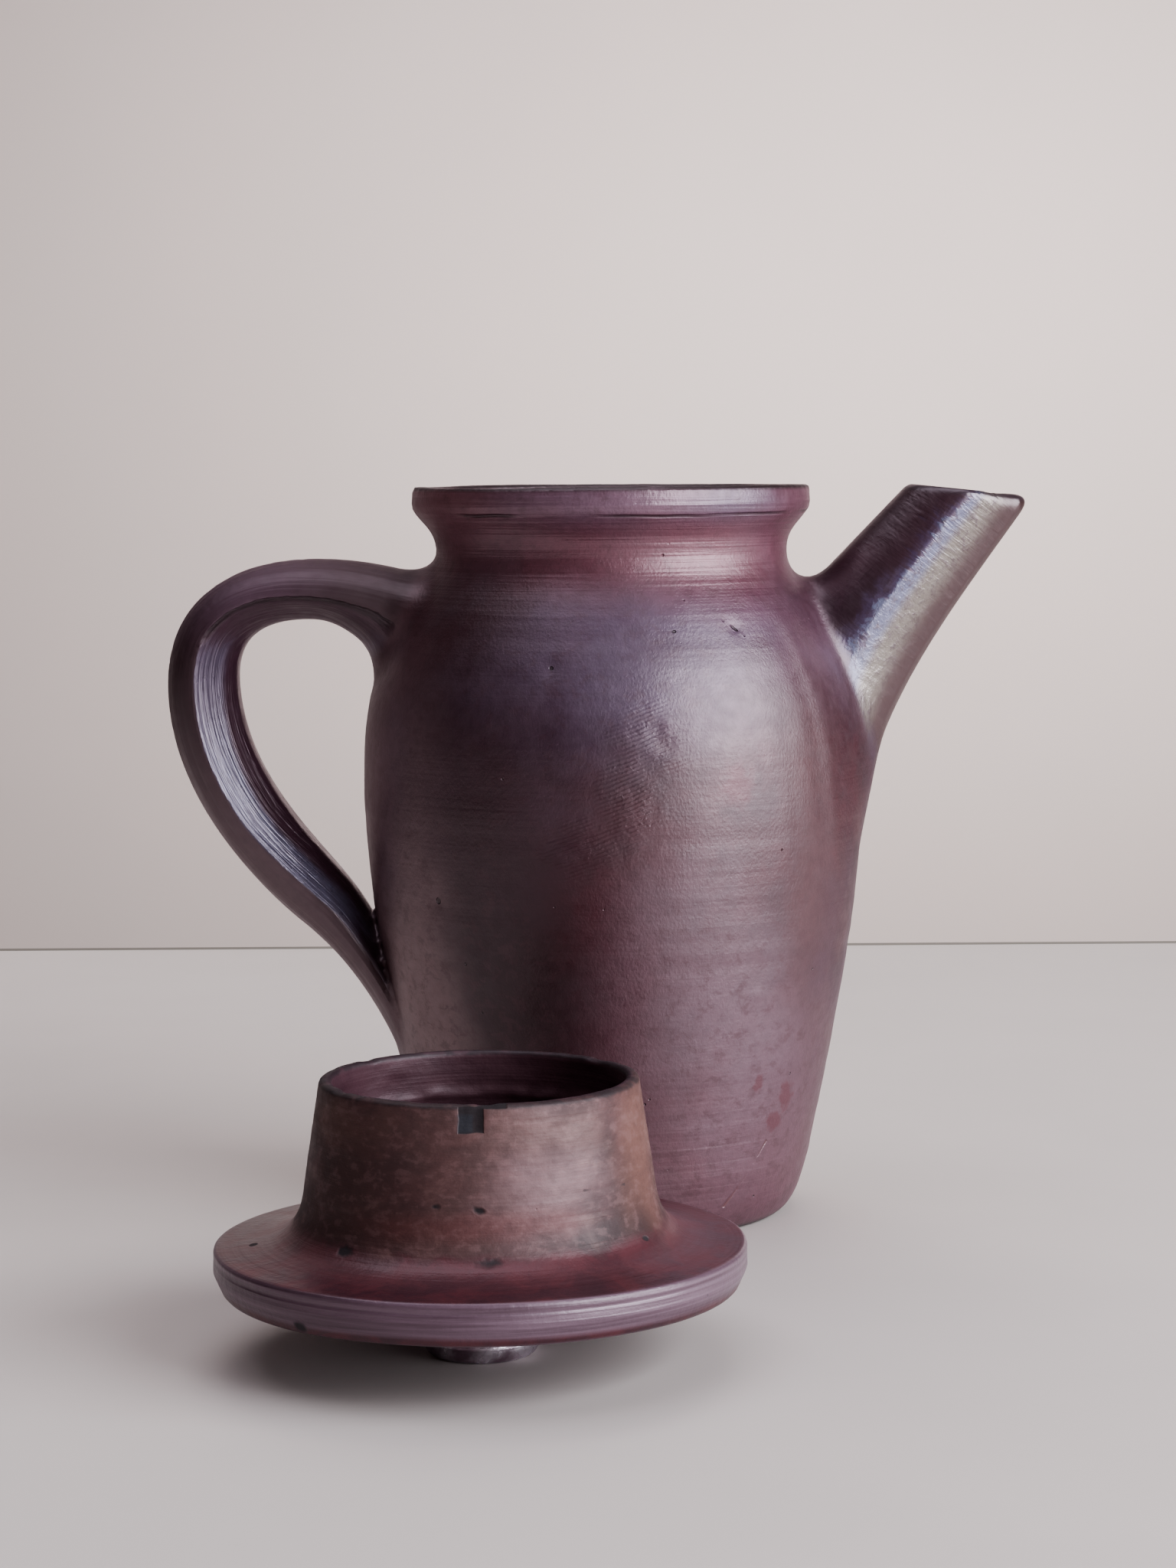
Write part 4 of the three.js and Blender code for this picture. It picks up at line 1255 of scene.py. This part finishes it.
# %% The lid's clay
def lid_clay():
    g = Finish("wiped_clay")
    centred = g.stretch(g.place, (1, 1, 1), (-lid_at[0], -lid_at[1], 0))
    x, y, z = g.split(centred)
    radius = g.calc("SQRT", x * x + y * y)

    # the bare collar
    wide = g.noise(g.stretch(centred, (1, 1, 1.3), (0.4, 0.2, 0.1)), 24, 3.0, 0.55, 0.4)
    low = g.stretch(centred, (1, 1, 1.6))
    cloud, mottle = g.noise(low, 85, 4.0, 0.65, 0.5), g.noise(low, 300, 3.0, 0.6)
    g.colour = g.between(cloud, 0.38, 0.62, (63, 39, 41), (83, 53, 55))
    g.coat(g.ease(wide, 0.55, 0.66) * 0.5, (94, 68, 66))
    g.coat(g.ease(wide, 0.50, 0.38) * 0.9, (48, 28, 30))
    g.clouds(lid_clouds, 0.7, 1.4, 90)
    g.coat(g.ease(cloud, 0.56, 0.72) * 0.35, (124, 94, 92))
    g.coat(g.ease(mottle, 0.48, 0.70, 0.0, 0.26), (60, 34, 36))
    g.coat(g.ease(mottle, 0.50, 0.34, 0.0, 0.24), (130, 98, 100))

    # the slip on the plate, its edge with turned streaks, and the cup
    slip = g.between(cloud, 0.35, 0.65, (84, 38, 46), (60, 30, 40))
    # lighter towards the fillet, where the plate turns up to the light: painted light
    slip = g.mix(g.ease(radius, 0.057, 0.046, 0.0, 0.35), slip, (108, 70, 76))
    streaks = g.noise(g.vector(radius * 500.0, z * 700.0, x * 22.0), 1.0, 3.0, 0.6)
    edge = g.between(streaks, 0.30, 0.72, (106, 84, 98), (78, 57, 69))
    # the edge band lighter towards the right: painted highlight
    edge_highlight_tint = g.between(streaks, 0.30, 0.72, (138, 118, 132), (100, 78, 90))
    edge = g.mix(g.ease(x, -0.030, 0.035, 0.0, 0.5), edge, edge_highlight_tint)
    cup_radius = (z - 0.0364) * -0.14 + 0.0396
    inside = g.ease(cup_radius - radius, -0.0004, 0.0004)
    below = g.ease(z + (cloud - 0.5) * 0.006, 0.0335, 0.0300)
    on_edge = g.ease(radius, 0.0604, 0.0612) * g.ease(z, 0.0267, 0.0262)
    g.coat(below, slip)
    g.coat(g.largest(on_edge, g.ease(z, 0.0172, 0.0160)), edge)
    g.coat(inside, g.mix(cloud, (92, 58, 68), (62, 38, 48)))

    # the dark lip, chips, pits and one hairline
    fine = g.noise(centred, 520, 3.0, 0.6)
    off_lip = g.calc("ABSOLUTE", z + fine * 0.0006 - 0.0652)
    lip = g.ease(off_lip, 0.0011, 0.0002) * g.ease(g.noise(centred, 160), 0.32, 0.52, 0.35, 0.9)
    chips = g.marks(lid_chips)
    fleck = g.pits(centred, 130.0, 0.06, 30, 0.54)
    # dark paint in the chips and pits: painted shade in these recesses
    g.coat(g.largest(chips * 0.92, lip * 0.8, fleck * 0.5), (24, 19, 25))
    fresh = g.spot((-34.8, -196.4, 61.2), (1.7, 6, 1.9), 0.25, 0.5, 300, True)
    g.coat(fresh * 0.85, (38, 38, 46))
    hairline = g.stroke((-8.6, -191, 44.8), (0.4, -181.6, 44.1), 0.4)
    g.coat(hairline * 0.7, (40, 24, 26))

    wheel = g.streaks(centred, (10, 10, 700), 3.0, 0.6)
    turned = g.noise(g.vector(radius * 900.0, z * 900.0, x * 8.0), 1.0)
    normal = g.bumps(
        (turned, 0.0004, 0.2 + on_edge * 0.25), (wheel, 0.0003, 0.35),
        (cloud, 0.0006, 0.25), (fine, 0.00022, 0.5), (g.largest(chips, fleck), -0.0003, 0.6))
    slip_gloss, bare_gloss = g.ease(cloud, 0.3, 0.7, 0.40, 0.33), g.ease(cloud, 0.35, 0.7, 0.62, 0.50) + 0.03
    gloss = g.put("ShaderNodeMix", _0=g.rest(below) * g.rest(inside), _2=slip_gloss, _3=bare_gloss)
    return g.finished(Roughness=gloss + g.largest(inside * 0.18, chips * 0.3), Normal=normal,
                      Metallic=0.15, IOR=1.6, Specular_Tint=(0.95, 0.95, 1.0, 1.0))


clay = lid_clay()
print("wiped_clay:", len(clay.node_tree.nodes), "nodes")

# %% [markdown]
# The knob was handled most and burnished hardest, so it is the glossiest and most metallic piece.
# Fine turning rings break its highlight.

# %% The knob's glaze
def knob_glaze():
    g = Finish("burnished_knob")
    centred = g.stretch(g.place, (1, 1, 1), (-lid_at[0], -lid_at[1], 0))
    cloud = g.noise(centred, 140, 4.0, 0.6)
    level = g.streaks(centred, (30, 30, 1300), 2.0)
    normal = g.bumps((level, 0.0002, 0.4), (cloud, 0.0005, 0.4), (g.noise(centred, 800), 0.0001, 0.4))
    g.colour = g.between(cloud, 0.35, 0.65, (140, 116, 130), (208, 198, 208))
    return g.finished(Roughness=g.ease(cloud, 0.3, 0.7, 0.18, 0.30), Normal=normal,
                      Metallic=0.85, IOR=2.2, Specular_Tint=(0.93, 0.94, 1.0, 1.0))


knob_finish = knob_glaze()
print("burnished_knob:", len(knob_finish.node_tree.nodes), "nodes")

# %% [markdown]
# Now the lid is turned and set down where it stands. A few things on it aren't quite round: a
# ragged ridge of clay runs round inside the collar below its lip, the lip's line wavers and dips
# in four places, and a chip is missing at its front. They are pressed into the finished mesh, and
# the edge of the plate stays true.

# %% The lid and the knob
lid_shell = turned_piece("lid_shell", lid_line, turned_clay, clay,
                         Turns=256, Ring_Depth=0.00022, Ring_Spacing=0.0017, Sway=0.0003, Seed=4)
knob_skin = turned_piece("knob_skin", knob_line, turned_clay, knob_finish,
                         Turns=96, Ring_Depth=0.00015, Ring_Spacing=0.0014, Sway=0.0002, Seed=9)
lip_dips = ((-86, 2.2, 0.35), (-149, 2.2, 0.35), (38, 3.0, 0.4), (140, 2.4, 0.3))  # degrees, width, depth
chip_x, chip_z, chip_half_width, chip_half_height = -0.7, 62.2, 2.5, 2.9


def weather_lid(points):
    """The lid's points, with the ridge in its cup, the wavering lip and the chips."""
    x, y, z = points.T
    radius, around = np.hypot(x, y), np.arctan2(y, x)
    in_cup = (radius < 39.6 - 0.14 * (z - 36.4)) & (z > 22)
    ring = np.stack([np.cos(around) * 36, np.sin(around) * 36, 0 * z], -1)
    ridge_at = 54.6 + 1.1 * grain(ring, 14, 21) + 0.6 * grain(ring, 4.2, 22)
    ridge = np.exp(-((z - ridge_at) / 1.25) ** 2) * (0.75 + 0.35 * grain(ring, 3.0, 23))
    inwards = np.where(in_cup, ridge + 0.22 * grain(points * (1, 1, 2.2), 6.0, 24), 0)
    scale = 1 - inwards / np.maximum(radius, 5)
    lip = ease(62.2, lip_top, z) * (0.10 * grain(ring, 7, 25) + 0.08 * grain(ring, 2.4, 26))
    beyond = np.maximum(np.abs(x - chip_x) - chip_half_width, np.abs(z - chip_z) - chip_half_height)
    chip = ease(0.4, -0.4, beyond) * (y < 0) * ease(34.6, 35.6, radius)
    scale = scale * (1 - chip * (0.35 + 0.25 * ease(-2.1, 1.1, x)) / np.maximum(radius, 5))
    for turn, width, depth in lip_dips:
        gap = np.angle(np.exp(1j * (around - math.radians(turn)))) * 37
        lip = lip - depth * ease(62.8, lip_top, z) * np.exp(-(gap / width) ** 4)
    return np.stack([x * scale, y * scale, z + lip], -1)


for piece in (lid_shell, knob_skin):
    points = corners_of(piece)
    if piece is lid_shell:
        points = weather_lid(points)
    points[:, 2] = np.maximum(points[:, 2], 0)
    put_back(piece, points + (lid_at[0] * 1000, lid_at[1] * 1000, 0))
    low, high = corners_of(piece).min(0), corners_of(piece).max(0)
    print(piece.name, triangles_of(piece), "triangles, from", low.round(1), "to", high.round(1), "mm")
pot_skin.data.materials.append(glaze)

# %% [markdown]
# Each piece rides on the body it belongs to, and the CAD solids it stands for are hidden. The pot's
# skin stands for three solids, because on the real pot they are one fired piece.

# %% Bodies, solids and slots
def volume_of(piece):
    """The volume inside a piece in cubic centimetres."""
    places, mesh = corners_of(piece), piece.data
    mesh.calc_loop_triangles()
    corners = np.empty(len(mesh.loop_triangles) * 3, np.int32)
    mesh.loop_triangles.foreach_get("vertices", corners)
    a, b, c = (places[corners.reshape(-1, 3)[:, i]] for i in range(3))
    return float((a * np.cross(b, c)).sum() / 6000)


for piece, body, solids, finish in (
        (pot_skin, "pot", ("pot_body", "spout", "handle"), "pot_glaze"),
        (lid_shell, "lid", ("lid",), "lid_clay"), (knob_skin, "lid", ("lid_knob",), "knob_glaze")):
    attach(piece, body)
    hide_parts(*solids)
    print(piece.name, "on", body, "volume", round(volume_of(piece), 1), "cm3")

# %% [markdown]
# The hidden CAD solids get the same finishes, so that no plain grey is left anywhere.

# %% Finishes of the hidden solids
node_finishes = {"pot_body": glaze, "spout": glaze, "handle": glaze, "lid": clay, "lid_knob": knob_finish}
for node, finish in node_finishes.items():
    places = frame["nodes"][node].material_slots
    for place in places:
        place.material = finish
    print(node, [place.material.name for place in places])

# %% [markdown]
# The stage is a pale table that ends half a metre behind the pot, with a pale backdrop well
# behind it. A thin strip along the table's far end is painted dark for the shadow in the gap.
# One large soft light stands to the right, like a window, and gives the broad highlight on the
# belly. A weak one above lifts the shadows, as a pale ceiling does. One high up behind draws the
# lid's soft shadow towards the viewer, and a small one lights the backdrop. These last two leave no
# highlight on the glaze. Where the camera looks past the backdrop, it sees paler air than the air
# that lights the pot.

# %% The stage
def plain_finish(name, colour, roughness, grain_scale):
    g = Finish(name)
    full = shade(*colour)
    dimmer = tuple(c * 0.97 for c in full[:3]) + (1.0,)
    g.colour = g.between(g.noise(g.place, grain_scale, 3.0, 0.6), 0.3, 0.7, dimmer, full)
    return g.finished(Roughness=roughness)


def flat_sheet(name, corners, finish):
    mesh = bpy.data.meshes.new(name)
    mesh.from_pydata(corners, [], [tuple(range(len(corners)))])
    mesh.materials.append(finish)
    sheet = add_object(name, mesh)


def soft_light(name, place, target, size, power, colour, glossy=True):
    data = bpy.data.lights.new(name, "AREA")
    data.shape = "RECTANGLE"
    data.size, data.size_y = size
    data.energy, data.color = power, colour
    light = add_object(name, data)
    light.location = place
    light.rotation_euler = (Vector(target) - Vector(place)).to_track_quat("-Z", "Y").to_euler()
    light.visible_camera, light.visible_glossy = False, glossy


side, front, back, edge_lean = 2.2, -2.4, 0.509, 0.0135
left_edge, right_edge = back + edge_lean * side, back - edge_lean * side
flat_sheet("table", [(-side, front, 0), (side, front, 0), (side, right_edge, 0), (-side, left_edge, 0)],
           plain_finish("table_paper", (202, 193, 192), 0.75, 9.0))
flat_sheet("table_edge", [(-side, left_edge, -0.001), (side, right_edge, -0.001),
                          (side, right_edge, 0.001), (-side, left_edge, 0.001)],
           plain_finish("gap_shadow", (132, 126, 120), 0.9, 3.0))
flat_sheet("backdrop", [(-1.9, 1.6, -0.9), (1.0, 1.6, -0.9), (1.0, 1.6, 1.5), (-1.9, 1.6, 1.5)],
           plain_finish("wall_paper", (199, 187, 184), 0.9, 3.0))
soft_light("window", (1.22, -0.78, 0.62), (0, 0, 0.12), (1.56, 1.3), 48, (0.95, 0.98, 1.0))
soft_light("ceiling", (-0.25, 0.0, 1.7), (0, 0.05, 0), (1.6, 1.6), 12.5, (0.95, 0.93, 1.0))
soft_light("wall_wash", (0.28, 0.95, 0.42), (0.22, 1.6, 0.0), (0.9, 0.4), 9.0, (1.0, 0.95, 0.93), glossy=False)
soft_light("behind", (0.0, 0.85, 1.25), (-0.03, -0.18, 0), (0.9, 0.6), 8.0, (1.0, 0.97, 0.90), glossy=False)
bpy.context.scene.view_settings.look = "AgX - Medium High Contrast"

world = bpy.data.worlds.new("room")
bpy.context.scene.world = world
world.use_nodes = True
air = Nodes(world.node_tree)
air.tree.nodes.remove(air.tree.nodes["Background"])
dim = air.put("ShaderNodeBackground", _0=(1.0, 0.76, 0.74, 1), _1=0.066)
pale = air.put("ShaderNodeBackground", _0=(0.66, 0.62, 0.60, 1), _1=0.8)
seen = air.put("ShaderNodeMixShader", _0=air.put("ShaderNodeLightPath")["Is Camera Ray"], _1=dim, _2=pale)
air.join(seen, air.tree.nodes["World Output"].inputs[0])
